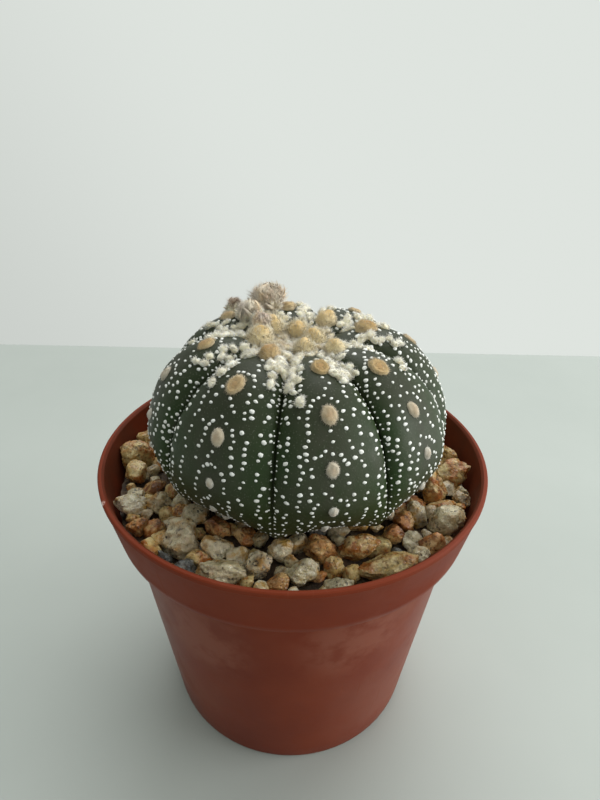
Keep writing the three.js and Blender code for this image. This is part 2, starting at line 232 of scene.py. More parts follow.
# %% Helpers for materials
def feed(tree, socket, value):
    """Puts into a socket another node's output, a number, a place or a colour."""
    if isinstance(value, bpy.types.NodeSocket):
        tree.links.new(value, socket)
    elif socket.type == "RGBA":
        socket.default_value = (*value, 1)
    else:
        socket.default_value = value


def node(tree, kind, inputs=None, **settings):
    made = tree.nodes.new("ShaderNode" + kind)
    for key, value in settings.items():
        setattr(made, key, value)
    for key, value in (inputs or {}).items():
        feed(tree, made.inputs[key], value)
    return made


def own_places(tree):
    """The places on a piece, in metres."""
    return node(tree, "TexCoord").outputs["Object"]


def carried(tree, label):
    """The number that each vertex carries under a label."""
    return node(tree, "Attribute", attribute_name=label).outputs["Fac"]


def cloudy(tree, places, scale, detail, roughness=0.5, distortion=0.0):
    """Soft noise about 0.5."""
    return node(tree, "TexNoise", {
        "Vector": places, "Scale": scale, "Detail": detail, "Roughness": roughness, "Distortion": distortion,
    }).outputs["Fac"]


def remap(tree, value, low, high, to_low=0.0, to_high=1.0, smooth=False):
    """Turns the span from low to high into another one, and holds its ends."""
    return node(
        tree, "MapRange",
        {"Value": value, "From Min": low, "From Max": high, "To Min": to_low, "To Max": to_high},
        interpolation_type="SMOOTHSTEP" if smooth else "LINEAR",
    ).outputs["Result"]


def ramp(tree, factor, stops):
    """A colour ramp from (position, colour) stops."""
    made = node(tree, "ValToRGB", {"Fac": factor})
    points = made.color_ramp.elements
    while len(points) < len(stops):
        points.new(0.5)
    for point, (position, colour) in zip(points, stops):
        point.position = position
        point.color = (*colour, 1)
    return made.outputs["Color"]


def blend(tree, factor, first, second):
    """Mixes two colours. Each one is a socket or a plain colour."""
    mix = {0: factor, 6: first, 7: second}
    return node(tree, "Mix", mix, data_type="RGBA", clamp_factor=True).outputs[2]


def arithmetic(tree, operation, first, second=0.0, third=0.0):
    return node(tree, "Math", {0: first, 1: second, 2: third}, operation=operation).outputs[0]


def times(tree, first, second):
    return arithmetic(tree, "MULTIPLY", first, second)


def new_material(name):
    """An empty material with a Principled shader, its tree and the shader."""
    material = bpy.data.materials.new(name)
    material.use_nodes = True
    tree = material.node_tree
    shader = next(n for n in tree.nodes if n.type == "BSDF_PRINCIPLED")
    return material, tree, shader


def finish(tree, shader, inputs):
    """Sets the inputs of a shader or another node, by name."""
    for key, value in inputs.items():
        feed(tree, shader.inputs[key], value)


def dress(material, *pieces):
    for piece in pieces:
        piece.data.materials.clear()
        piece.data.materials.append(material)


# %% [markdown]
# Two effects turn up in most of the finishes. **Mottle** is a soft, uneven change from place to
# place, as in dyed plastic, skin and felt. **Grain** is a fine roughness that only bends the
# light. Each is a node group, built once and placed with its own values.


# %% Shared effects
def effect_group(name, inputs, output):
    group = bpy.data.node_groups.new(name, "ShaderNodeTree")
    for label, value in inputs:
        socket = group.interface.new_socket(name=label, in_out="INPUT", socket_type="NodeSocketFloat")
        socket.default_value = value
    group.interface.new_socket(name=output, in_out="OUTPUT", socket_type="NodeSocketFloat")
    return group, group.nodes.new("NodeGroupInput").outputs, group.nodes.new("NodeGroupOutput").inputs[output]


mottle_group, entry, leave = effect_group(
    "mottle", [("Scale", 100.0), ("Low", 0.35), ("High", 0.65), ("Shift", 0.0)], "Mask"
)
moved = node(
    mottle_group, "VectorMath", {0: own_places(mottle_group), 1: entry["Shift"]}, operation="ADD"
).outputs["Vector"]
cloud = cloudy(mottle_group, moved, entry["Scale"], 4.0, 0.6)
feed(mottle_group, leave, remap(mottle_group, cloud, entry["Low"], entry["High"]))

grain_group, entry, leave = effect_group("grain", [("Fine", 4000.0), ("Coarse", 700.0)], "Height")
places = own_places(grain_group)
fine = cloudy(grain_group, places, entry["Fine"], 2.0)
coarse = cloudy(grain_group, places, entry["Coarse"], 3.0)
feed(grain_group, leave, arithmetic(grain_group, "MULTIPLY_ADD", fine, 0.35, coarse))


def mottle(tree, scale, low=0.35, high=0.65, shift=0.0):
    """A soft uneven mask, 0 to 1. A shift gives each copy a pattern of its own."""
    values = {"Scale": scale, "Low": low, "High": high, "Shift": shift}
    made = node(tree, "Group", node_tree=mottle_group)
    finish(tree, made, values)
    return made.outputs["Mask"]


def patched(tree, colour, tint, scale, low, high, strength=1.0):
    """Lays a second colour over the first in soft patches."""
    mask = mottle(tree, scale, low, high)
    return blend(tree, times(tree, mask, strength) if strength < 1 else mask, colour, tint)


def grain(tree, fine, coarse):
    """A height for a Bump node."""
    made = node(tree, "Group", node_tree=grain_group)
    finish(tree, made, {"Fine": fine, "Coarse": coarse})
    return made.outputs["Height"]


def bump(tree, shader, height, distance, strength):
    made = node(tree, "Bump", {"Height": height, "Distance": distance, "Strength": strength})
    finish(tree, shader, {"Normal": made.outputs["Normal"]})


print("effects:", mottle_group.name, grain_group.name)

# %% [markdown]
# ## The stage
#
# The object stands on a plain pale table top, in front of a plain white room. A table is only a
# slab, but a bare slab would have a razor edge, so its edges are rounded. The camera looks down
# on the plant from about twelve centimetres away.

# %% Table and camera
TABLE_SIZE = (4, 3, 0.04)       # metres
TABLE_BACK = 0.204              # metres, where the table ends behind the plant
start_clean()
bpy.ops.mesh.primitive_cube_add(
    size=1, location=(0, TABLE_BACK - TABLE_SIZE[1] / 2, -TABLE_SIZE[2] / 2), scale=TABLE_SIZE
)
table = bpy.context.object
table.name = "table_top"
bpy.ops.object.transform_apply(location=True, scale=True)
with editing(table):
    bpy.ops.mesh.bevel(offset=0.002, segments=3, affect="EDGES")
shade(table, 40)

table_material, tree, shader = new_material("pale_table")
paint = patched(tree, (0.418, 0.453, 0.425), (0.452, 0.487, 0.458), 9, 0.3, 0.7)
finish(tree, shader, {"Base Color": paint, "Roughness": 0.55, "Specular IOR Level": 0.3})
dress(table_material, table)

CAMERA_PLACE = Vector((1.2, -104.6, 139.9)) * MM
CAMERA_DOWN = math.radians(29.61)
CAMERA_ROLL = math.radians(1.16)
camera_data = bpy.data.cameras.new("camera")
camera_data.lens = 24.98        # mm, on a frame 36 mm high
camera_data.sensor_width = 36
camera_data.clip_start = 0.005
camera = bpy.data.objects.new("camera", camera_data)
bpy.context.collection.objects.link(camera)
aim = Matrix.Rotation(math.pi / 2 - CAMERA_DOWN, 4, "X") @ Matrix.Rotation(CAMERA_ROLL, 4, "Z")
camera.matrix_world = Matrix.Translation(CAMERA_PLACE) @ aim
bpy.context.scene.camera = camera
print("the camera stands", round((CAMERA_PLACE - Vector((0, 0, 0.08))).length, 3), "m away")

# %% [markdown]
# The light is soft. A pale room gives most of it, and is brighter above, behind and to the right.
# One broad lamp stands high behind the plant, as a window would, and lifts the crown. Another
# stands lower at the right and lights that side of the pot. The room as the camera sees it has
# a strength of its own, so that the wall behind stays pale whatever light the plant gets.

# %% Light
WINDOW = (0.13, 0.36, 0.62)
SIDE_WINDOW = (0.76, -0.10, 0.27)
BRIGHT_SIDE = (0.66, 0.42, 0.42)


def soft_light(name, place, target, size, power):
    lamp = bpy.data.lights.new(name, "AREA")
    lamp.shape = "DISK"
    lamp.size = size
    lamp.energy = power
    holder = bpy.data.objects.new(name, lamp)
    bpy.context.collection.objects.link(holder)
    holder.location = place
    way = Vector(target) - Vector(place)
    holder.rotation_euler = way.to_track_quat("-Z", "Y").to_euler()


soft_light("window", WINDOW, (0, 0.02, 0.07), 0.70, 3.0)
soft_light("side_window", SIDE_WINDOW, (0, 0, 0.06), 0.60, 4.4)
world = bpy.data.worlds.new("soft_room")
world.use_nodes = True
tree = world.node_tree
way = node(tree, "TexCoord").outputs["Generated"]
brighter = node(tree, "VectorMath", {0: way, 1: BRIGHT_SIDE}, operation="DOT_PRODUCT").outputs["Value"]
room_light = remap(tree, brighter, -0.75, 0.55, 0.31, 0.74, smooth=True)
backdrop = remap(tree, brighter, -0.30, 0.40, 0.60, 0.775, smooth=True)
seen = node(tree, "LightPath").outputs["Is Camera Ray"]
strength = node(tree, "Mix", {0: seen, 2: room_light, 3: backdrop}).outputs[0]
finish(tree, tree.nodes["Background"], {"Color": (0.95, 1.0, 0.95), "Strength": strength})
bpy.context.scene.world = world
bpy.context.scene.view_settings.view_transform = "Standard"

# %% [markdown]
# ## The pot
#
# A nursery pot is injection moulded in one piece, about a millimetre thick, with a rolled lip, a
# collar that stiffens it and a foot ring. It could be modelled as a cylinder with pushed rings,
# but turning its whole section, outside and inside, keeps the wall even all the way round. The
# corners are then rounded by a bevel, as the mould's are.


# %% Turn the pot
def wall_radius(height):
    """Outside of the tapered wall at a height."""
    return BASE_RADIUS + (WALL_TOP_RADIUS - BASE_RADIUS) * height / COLLAR_FOOT[1]


pot_outline = [
    (0.0, 1.5),
    (27.8, 1.5),
    (28.2, 0.0),
    (30.6, 0.0),
    (wall_radius(0.6), 0.6),
    (wall_radius(4.0), 4.0),
    (wall_radius(30.0), 30.0),
    (wall_radius(52.0), 52.0),
    (WALL_TOP_RADIUS, COLLAR_FOOT[1]),
    (COLLAR_FOOT[0] - 0.15, COLLAR_FOOT[1]),
    (COLLAR_FOOT[0] + 0.1, COLLAR_FOOT[1] + 1.2),
    (RIM_RADIUS - 0.22, LIP_FOOT),
    (RIM_RADIUS, LIP_FOOT + 0.3),
    (RIM_RADIUS, POT_HEIGHT - 0.25),
    (RIM_RADIUS - 0.25, POT_HEIGHT),
    (RIM_RADIUS - LIP_WIDTH + 0.5, POT_HEIGHT),
    (RIM_RADIUS - LIP_WIDTH, POT_HEIGHT - 0.5),
    (RIM_RADIUS - LIP_WIDTH - 0.1, POT_HEIGHT - 1.5),
    (COLLAR_FOOT[0] - WALL, COLLAR_FOOT[1] + 1.6),
    (WALL_TOP_RADIUS - WALL, COLLAR_FOOT[1] - 0.2),
    (wall_radius(30.0) - WALL, 30.0),
    (wall_radius(3.4) - WALL, 3.4),
    (wall_radius(2.6) - WALL - 0.8, FLOOR_TOP),
    (0.0, FLOOR_TOP),
]
pot = turned("nursery_pot", pot_outline, 180)
print("the pot's section has", len(pot_outline), "corners")

# %% [markdown]
# The floor has one hole in the middle and a ring of eight. They are cut by a boolean with a
# group of short rods, one rod modelled and copied. The rod is turned by one degree, so that no
# corner of the middle hole falls on one of the spun lines, where the cut would leave slivers.

# %% Drain holes
HOLE_RADIUS = 2.6
HOLE_RING_RADIUS = 21.5
start_clean()
bpy.ops.mesh.primitive_cylinder_add(
    vertices=36, radius=HOLE_RADIUS * MM, depth=4 * MM, rotation=(0, 0, math.radians(1))
)
rod = bpy.context.object
bpy.ops.object.transform_apply(rotation=True)
hole_places = [(0, Matrix.Translation((0, 0, 2 * MM)))]
for number in range(8):
    angle = (number + 0.5) * math.tau / 8
    spot = Vector((HOLE_RING_RADIUS * math.cos(angle), HOLE_RING_RADIUS * math.sin(angle), 2.0)) * MM
    hole_places.append((0, Matrix.Translation(spot)))
rods = copies_of([rod], hole_places, "drain_rods")
apply_modifier(pot, "BOOLEAN", operation="DIFFERENCE", object=rods, solver="EXACT")
put_away([rod, rods])
apply_modifier(
    pot, "BEVEL", width=0.22 * MM, segments=3, limit_method="ANGLE", angle_limit=math.radians(28)
)
shade(pot, 40)
settle(pot, "pot_plastic", "pot")

# %% [markdown]
# The plastic is a dull brick red, mottled by the mould and a touch paler on the lip. Handling
# has scuffed it with fine upright scratches and a few short strokes, and the lip has a small nick.
# A pale haze on the sides below the collar and two paler patches in front are painted sheen.
# Inside, above the stones, it is darkened by painted shade. The collar is rougher than the wall
# and shines less.

# %% Pot plastic
NICK = (-36.8, -21.2, 68.5)
# Middles of the two painted sheen patches on the front of the wall, in millimetres.
SHEEN_PATCHES = [(13, -34, 47), (-18, -32, 43)]
pot_material, tree, shader = new_material("brick_red_plastic")
places = own_places(tree)
split = node(tree, "SeparateXYZ", {"Vector": places}).outputs
above_collar_foot = remap(tree, split["Z"], (COLLAR_FOOT[1] + 0.5) * MM, (COLLAR_FOOT[1] + 1.5) * MM)


def around(spot, full, none, most, smooth=False):
    """A mask about a place, from its full radius to where it is gone, in millimetres."""
    distance = node(tree, "VectorMath", {0: places, 1: Vector(spot) * MM}, operation="DISTANCE")
    return remap(tree, distance.outputs["Value"], full * MM, none * MM, most, 0.0, smooth)


plastic = patched(tree, (0.160, 0.020, 0.004), (0.198, 0.029, 0.007), 60, 0.3, 0.7)
lip = remap(tree, split["Z"], LIP_FOOT * MM, POT_HEIGHT * MM)
plastic = blend(tree, times(tree, lip, 0.7), plastic, (0.185, 0.034, 0.014))

upright = node(tree, "Mapping", {"Vector": places, "Scale": (1.0, 1.0, 0.12)}).outputs["Vector"]
scratches = cloudy(tree, upright, 1400.0, 3.0, 0.7)
scuffs = times(tree, mottle(tree, 90, 0.5, 0.75), scratches)
round_pot = arithmetic(tree, "ARCTAN2", split["Y"], split["X"])
unrolled = {"X": times(tree, round_pot, 60.0), "Y": times(tree, split["Z"], 90.0)}
unrolled = node(tree, "CombineXYZ", unrolled).outputs["Vector"]
strokes = remap(tree, cloudy(tree, unrolled, 1.0, 1.0, distortion=0.4), 0.71, 0.76)
scuffs = arithmetic(tree, "MAXIMUM", scuffs, strokes)
worn_and_painted_light = blend(tree, times(tree, scuffs, 0.15), plastic, (0.36, 0.15, 0.10))

# Painted sheen: a paler haze on the wall below the collar, strongest at the sides, stands in for reflections
# of the bright room.
clouds = mottle(tree, 42, 0.47, 0.60)
sheen_below_collar = remap(tree, split["Z"], (COLLAR_FOOT[1] - 4.0) * MM, (COLLAR_FOOT[1] - 0.5) * MM, 0.5, 0.0)
sheen_at_sides = remap(tree, arithmetic(tree, "ABSOLUTE", split["X"]), 6 * MM, 20 * MM, 0.2, 1.0)
painted_sheen = times(tree, times(tree, clouds, sheen_below_collar), sheen_at_sides)
worn_and_painted_light = blend(tree, painted_sheen, worn_and_painted_light, (0.235, 0.090, 0.062))
# Painted sheen: two paler patches on the front of the wall.
for spot in SHEEN_PATCHES:
    sheen_patch = times(tree, around(spot, 6, 15, 0.35, smooth=True), mottle(tree, 120, 0.40, 0.54))
    worn_and_painted_light = blend(tree, sheen_patch, worn_and_painted_light, (0.30, 0.115, 0.075))
nick = times(tree, around(NICK, 0.35, 0.75, 1.0), mottle(tree, 1500, 0.42, 0.52))
worn_and_painted_light = blend(tree, nick, worn_and_painted_light, (0.75, 0.52, 0.46))

# Painted shade: the inner wall above the stones is darkened in patches.
level = node(tree, "Mapping", {"Vector": places, "Scale": (1.0, 1.0, 0.0)}).outputs["Vector"]
away = node(tree, "VectorMath", {0: level}, operation="NORMALIZE").outputs["Vector"]
normal = node(tree, "NewGeometry").outputs["True Normal"]
facing_out = node(tree, "VectorMath", {0: normal, 1: away}, operation="DOT_PRODUCT").outputs["Value"]
inside = remap(tree, facing_out, -0.8, -0.4, 1.0, 0.0)
inner_shade = times(tree, times(tree, inside, above_collar_foot), 0.65)
inner_shade = times(tree, inner_shade, mottle(tree, 120, 0.1, 0.6))
worn_and_painted_light = blend(tree, inner_shade, worn_and_painted_light, (0.050, 0.022, 0.012))

smudges = arithmetic(tree, "MULTIPLY_ADD", clouds, 0.5, scuffs)
roughness = remap(tree, smudges, 0.0, 1.0, 0.34, 0.56)
roughness = arithmetic(tree, "MULTIPLY_ADD", above_collar_foot, 0.20, roughness)
finish(tree, shader, {"Base Color": worn_and_painted_light, "Roughness": roughness, "Specular IOR Level": 0.11})
bump(tree, shader, grain(tree, 2600, 300), 0.00003, 0.5)
dress(pot_material, pot)

# %% [markdown]
# ## The plant's form
#
# The crest line of a rib runs from the dip in the crown over the shoulder to the underside. A
# smooth curve through a few points gives it, and a table of its length lets the lesson say how
# far down a rib something sits.

# %% The crest line
CREST = [
    (0.0, 93.2), (4.0, 93.7), (8.0, 94.9), (12.5, 96.0), (17.0, 96.2), (22.0, 94.6), (26.5, 91.0),
    (30.0, 85.8), (31.9, 80.0), (32.3, 76.0), (31.4, 72.0), (29.4, 68.6), (26.3, 66.0),
    (21.0, 64.2), (14.0, 63.0), (8.0, 62.0),
]
ROOT = [(7.0, 59.0), (7.5, 53.0), (6.2, 46.0), (4.6, 37.0), (2.9, 30.0), (1.4, 23.0), (0.0, 19.0)]


def smooth_curve(points, steps=24):
    """Points along a Catmull-Rom curve through the given ones."""
    ends = [points[0]] + points + [points[-1]]
    found = []
    for a, b, c, d in zip(ends, ends[1:], ends[2:], ends[3:]):
        for count in range(steps):
            t = count / steps
            found.append(tuple(
                0.5 * (2 * q + (r - p) * t + (2 * p - 5 * q + 4 * r - s) * t * t
                       + (3 * q - p - 3 * r + s) * t ** 3)
                for p, q, r, s in zip(a, b, c, d)
            ))
    return found + [points[-1]]


crest_curve = smooth_curve(CREST)
crest_lengths = [0.0]
for first, second in zip(crest_curve, crest_curve[1:]):
    crest_lengths.append(crest_lengths[-1] + math.dist(first, second))
print(f"a crest is {crest_lengths[-1]:.1f} mm long")


def crest_point(distance):
    """(radius, height) at a distance down the crest line."""
    distance = min(max(distance, 0.0), crest_lengths[-1])
    low = min(bisect.bisect_right(crest_lengths, distance), len(crest_lengths) - 1) - 1
    span = crest_lengths[low + 1] - crest_lengths[low]
    share = (distance - crest_lengths[low]) / span if span else 0.0
    return tuple(a + (b - a) * share for a, b in zip(crest_curve[low], crest_curve[low + 1]))


def crest_slope(distance):
    """The way that the crest line runs there: outwards and up."""
    before, beyond = crest_point(distance - 0.5), crest_point(distance + 0.5)
    return Vector((beyond[0] - before[0], beyond[1] - before[1])).normalized()


# %% [markdown]
# The plant has eight ribs. They grew a little unevenly, so each has its own furrow and crest
# angle. The furrow is a narrow fold: the flanks are full and close on it steeply. Low down it is
# the crest that draws in instead, which gives the scalloped foot.

# %% Ribs
RIBS = [
    {"furrow": -98.0, "crest": -79.5, "phase": 5.6},
    {"furrow": -57.5, "crest": -41.0, "phase": 9.4},
    {"furrow": -14.5, "crest": 9.0, "phase": 3.2},
    {"furrow": 32.0, "crest": 55.0, "phase": 10.2},
    {"furrow": 78.0, "crest": 101.0, "phase": 4.8},
    {"furrow": 124.5, "crest": 147.0, "phase": 8.0},
    {"furrow": 170.5, "crest": 197.0, "phase": 8.7},
    {"furrow": 216.0, "crest": 241.5, "phase": 1.2},
]
FURROW_DEPTH = 2.8
TUCK = 1.5
FURROW_HANG = 0.6


def furrow_after(rib):
    return RIBS[rib + 1]["furrow"] if rib + 1 < len(RIBS) else RIBS[0]["furrow"] + 360


def rib_azimuth(rib, across):
    """Azimuth of a place across a rib, -1 and 1 at its furrows and 0 on its crest."""
    crest = RIBS[rib]["crest"]
    edge = RIBS[rib]["furrow"] if across < 0 else furrow_after(rib)
    return math.radians(crest + (edge - crest) * abs(across))


def ease(value, low, high):
    """0 below low, 1 above high, smooth between."""
    t = min(max((value - low) / (high - low), 0.0), 1.0)
    return t * t * (3 - 2 * t)


def inset(distance, across):
    """How far the skin stands in from the crest line."""
    side = min(abs(across), 1.0)
    closing = 1 - math.sqrt(1 - side ** 4)
    sharp = 0.45 + 0.35 * ease(distance, 14, 42)
    depth = FURROW_DEPTH * ease(distance, 2, 17) * (1.25 - 0.35 * ease(distance, 20, 45))
    furrow = depth * (sharp * closing + (1 - sharp) * side ** 2.4)
    lower = ease(distance, 42, 55)
    return furrow * (1 - lower) + TUCK * lower * (1 - side ** 2) - FURROW_HANG * lower * side ** 2


# %% [markdown]
# The stem starts as the crest line turned in 80 steps, ten to a rib. Each column of vertices
# is then turned to its angle on the uneven ribs, and each ring of each kind of column is drawn
# in towards the axis by the fold's depth.

# %% The stem's cage
PER_RIB = [-1.0, -0.965, -0.87, -0.68, -0.36, 0.0, 0.36, 0.68, 0.87, 0.965]
RINGS = [0.0, 2.5, 5.0, 8.0, 11.5, 15.0, 18.5, 22.0, 25.5, 29.0, 32.5, 36.0, 39.5, 43.0, 46.5,
         50.0, 53.0, 55.5, 58.0, 61.0, 65.0, 70.0, 76.0]
COLUMNS = len(RIBS) * len(PER_RIB)
cage_outline = [crest_point(distance) for distance in RINGS] + ROOT
stem = turned("stem", cage_outline, COLUMNS)

column_of, ring_of = [], []
for vertex in stem.data.vertices:
    x, y, z = vertex.co / MM
    column_of.append(round(math.atan2(y, x) / math.tau * COLUMNS) % COLUMNS)
    ring_of.append(
        min(range(len(cage_outline)), key=lambda i: math.dist(cage_outline[i], (math.hypot(x, y), z)))
    )
print("cage:", len(stem.data.vertices), "vertices")

# %% Turn the columns and fold the furrows
work_on(stem, "EDIT")
for column in range(COLUMNS):
    rib, step = divmod(column, len(PER_RIB))
    turn = rib_azimuth(rib, PER_RIB[step]) - column * math.tau / COLUMNS
    pick(stem, lambda number, _: column_of[number] == column)
    bpy.ops.transform.rotate(
        value=-turn, orient_axis="Z", orient_type="GLOBAL", center_override=(0, 0, 0)
    )
for ring, distance in enumerate(RINGS[1:], start=1):
    radius = crest_point(distance)[0]
    slope = crest_slope(distance)
    for step, across in enumerate(PER_RIB):
        depth = inset(distance, across)
        pick(stem, lambda number, _: column_of[number] % len(PER_RIB) == step and ring_of[number] == ring)
        shrink = (radius + slope.y * depth) / radius
        bpy.ops.transform.resize(value=(shrink, shrink, 1), center_override=(0, 0, 0))
        bpy.ops.transform.translate(value=(0, 0, -slope.x * depth * MM))

# %% [markdown]
# A crease keeps the furrows sharp, a subdivision makes the skin from the cage, and a broad
# shallow noise takes away its evenness.

# %% Crease, subdivide and roughen a little
pick(stem, lambda number, _: column_of[number] % len(PER_RIB) == 0 and 2 < ring_of[number] < 22)
bpy.ops.transform.edge_crease(value=0.8)
bpy.ops.mesh.select_all(action="SELECT")
bpy.ops.transform.translate(value=tuple(STEM_AXIS * MM))
bpy.ops.object.mode_set(mode="OBJECT")
apply_modifier(stem, "SUBSURF", levels=2, render_levels=2)
roughen(stem, "uneven_growth", 0.009, 0.0005)
shade(stem)
settle(stem, "cactus_skin", "cactus")

# %% [markdown]
# Later pieces grow on the skin, so the lesson needs to find it. A ray is shot at the stem from
# outside, square to the crest line, and gives the place and the way the skin faces there.

# %% Finding the skin
stem_tree = BVHTree.FromObject(stem, bpy.context.evaluated_depsgraph_get())


def skin_at(rib, distance, across):
    """Place and outward direction of the skin, in metres."""
    slope = crest_slope(distance)
    radius, height = crest_point(distance)
    azimuth = rib_azimuth(rib, across)
    level = Vector((math.cos(azimuth), math.sin(azimuth), 0))
    outward = level * -slope.y + Vector((0, 0, slope.x))
    start = STEM_AXIS + level * radius + Vector((0, 0, height)) + outward * 8
    hit, normal, _, _ = stem_tree.ray_cast(start * MM, -outward)
    return hit, normal


def standing_on(place, normal, size, spin=0.0, along=None):
    """A matrix that stands a pattern on a surface. The pattern's X can follow a direction."""
    side = normal.cross(along or Vector((0.3, 0.2, 1))).normalized()
    ahead = side.cross(normal)
    axes = Matrix((ahead, side, normal)).transposed().to_4x4()
    return Matrix.Translation(place) @ axes @ Matrix.Rotation(spin, 4, "Z") @ Matrix.Diagonal((*size, 1))


def half_width(rib, side, distance):
    """From the crest line to the furrow on one side, along the skin, in millimetres."""
    return crest_point(distance)[0] * abs(rib_azimuth(rib, side) - rib_azimuth(rib, 0))


print("skin at the front:", [round(v / MM, 1) for v in skin_at(0, 40, 0)[0]])

# %% [markdown]
# The skin's colour depends on where it is: dull olive grey on the crests, clear green in the
# furrows and a darker, yellower green low down. Right at each fold it runs to near black, which is
# painted shade in the crease. Two numbers that each vertex carries tell the material.


# %% Map the skin
def place_on_stem(co):
    """(across, height) of a point of the stem."""
    x, y, z = co / MM - STEM_AXIS
    azimuth = math.degrees(math.atan2(y, x))
    first = RIBS[0]["furrow"]
    azimuth = first + (azimuth - first) % 360
    rib = next((rib for rib in range(len(RIBS)) if azimuth < furrow_after(rib)), len(RIBS) - 1)
    crest = RIBS[rib]["crest"]
    edge = RIBS[rib]["furrow"] if azimuth < crest else furrow_after(rib)
    return abs(azimuth - crest) / abs(edge - crest), z


mapped = [place_on_stem(vertex.co) for vertex in stem.data.vertices]
carry(stem, "furrow", [across for across, _ in mapped])
carry(stem, "low", [1 - ease(height, 64, 84) for _, height in mapped])
print("mapped:", len(mapped), "vertices")

# %% [markdown]
# The skin is matt and faintly waxy. It darkens towards the crown, partly the young skin's colour
# and partly painted shade. Larger and smaller tints lie over each other on it, and pale points
# about half a millimetre apart stipple it.

# %% Cactus skin
skin_material, tree, shader = new_material("cactus_skin")
places = own_places(tree)
# Painted shade: the ramp's last stop makes the skin near black right at the fold of each furrow.
skin = ramp(tree, carried(tree, "furrow"), [
    (0.0, (0.043, 0.048, 0.029)), (0.45, (0.043, 0.061, 0.029)), (0.8, (0.020, 0.044, 0.011)),
    (0.94, (0.013, 0.036, 0.004)), (1.0, (0.004, 0.010, 0.001)),
])
skin = patched(tree, skin, (0.058, 0.055, 0.038), 110, 0.35, 0.7, 0.6)
skin = patched(tree, skin, (0.028, 0.046, 0.016), 420, 0.45, 0.75, 0.6)
skin = blend(tree, times(tree, carried(tree, "low"), 0.85), skin, (0.029, 0.040, 0.003))
# Darker towards the crown: partly the young skin's colour, partly painted shade.
height_up = node(tree, "SeparateXYZ", {"Vector": places}).outputs["Z"]
skin = blend(tree, remap(tree, height_up, 85 * MM, 95 * MM, 0.0, 0.75), skin, (0.019, 0.024, 0.008))
dots = node(tree, "TexVoronoi", {"Vector": places, "Scale": 2000.0}).outputs["Distance"]
skin = blend(tree, remap(tree, dots, 0.10, 0.26, 0.50, 0.0), skin, (0.14, 0.15, 0.11))
roughness = remap(tree, mottle(tree, 200), 0.0, 1.0, 0.44, 0.60)
finish(tree, shader, {"Base Color": skin, "Roughness": roughness, "Specular IOR Level": 0.23})
pores = node(tree, "TexVoronoi", {"Vector": places, "Scale": 3200.0}).outputs["Distance"]
bump(tree, shader, arithmetic(tree, "ADD", pores, grain(tree, 5000, 900)), 0.00003, 0.6)
dress(skin_material, stem)

# %% [markdown]
# ## Areoles
#
# Every rib carries a line of areoles, felted cushions that stand where other cacti have spines.
# New ones come off the crown and move down as the plant grows. The young ones are large, golden
# and dimpled, and the old ones small, grey and round. Their places follow one growth curve, and
# each rib is a step ahead of its neighbour or behind it.

# %% Where the areoles sit
AREOLE_REACH = 57.5
AREOLE_STEP = 11.2
AREOLE_LAST = 74
rng = random.Random(11)


def areoles_of(rib):
    """The rib's areoles: distance down the crest, half width and half length, and age 0 to 1."""
    found = []
    turn = RIBS[rib]["phase"]
    while turn < AREOLE_LAST:
        distance = AREOLE_REACH * math.sin(math.radians(turn))
        age = ease(distance, 10, 52)
        found.append((distance, 1.75 - 0.95 * age, 2.05 - 1.2 * age ** 1.5, age))
        turn += AREOLE_STEP
    return found


print("areoles on each rib:", [len(areoles_of(rib)) for rib in range(len(RIBS))])

# %% [markdown]
# A cushion starts as a ball, drawn a little towards a drum and flattened. The top of a young one
# is pressed down for its dimple. Its surface is shaken, smoothed and made lumpy, and short
# fibres stand all over it, because felt has no sharp outline. Fibres are thin three-sided cones:
# at this size nothing more would show. Five kinds go from the newest areoles to the oldest.


# %% Model the cushions
def fibre(length, thick):
    start_clean()
    bpy.ops.mesh.primitive_cone_add(
        vertices=3, radius1=thick, radius2=0, depth=length, location=(0, 0, length / 2)
    )
    bpy.ops.object.transform_apply(location=True)
    return bpy.context.object


def felt_cushion(name, seed, dimple, fibres, nap, lift=0.75, drum=0.0):
    """A cushion 1 wide, 1 long and lift high above the skin, with its foot below."""
    start_clean()
    bpy.ops.mesh.primitive_uv_sphere_add(segments=22, ring_count=14, radius=1)
    cushion = bpy.context.object
    cushion.name = name
    if drum:
        apply_modifier(cushion, "CAST", cast_type="CYLINDER", factor=drum)
    with editing(cushion):
        bpy.ops.transform.resize(value=(1, 1, lift))
        if dimple:
            pick(cushion, lambda _, place: place.z > 0.86 * lift)
            bpy.ops.transform.translate(value=(0.05, 0.0, -dimple))
        bpy.ops.mesh.select_all(action="SELECT")
        bpy.ops.transform.vertex_random(offset=0.04, seed=seed)
    apply_modifier(cushion, "SMOOTH", factor=0.5, iterations=3)
    roughen(cushion, name + "_lumps", 0.8, 0.36)
    rises = [math.atan2(v.co.z / lift, math.hypot(v.co.x, v.co.y)) for v in cushion.data.vertices]
    carry(cushion, "top", [max(rise, 0) / (math.pi / 2) for rise in rises])
    surface = BVHTree.FromObject(cushion, bpy.context.evaluated_depsgraph_get())
    hair = fibre(nap, 0.028)
    draw = random.Random(seed)
    spots = []
    for count in range(fibres):
        rise = draw.uniform(0.0, 0.95) ** 1.3
        angle = count * GOLDEN_ANGLE
        flat = math.sqrt(1 - rise * rise)
        ray = Vector((flat * math.cos(angle), flat * math.sin(angle), rise * lift))
        hit, normal, _, _ = surface.ray_cast(ray * 3, -ray)
        lean = (normal + Vector([draw.uniform(-0.45, 0.45) for _ in range(3)])).normalized()
        size = draw.uniform(0.6, 1.25) * (1.1 - 0.5 * rise)
        spots.append((0, standing_on(hit - normal * 0.05, lean, (1, 1, size))))
    felt = copies_of([hair], spots, name + "_felt")
    work_on(felt)
    cushion.select_set(True)
    bpy.context.view_layer.objects.active = cushion
    bpy.ops.object.join()
    put_away([hair])
    shade(cushion)
    return cushion


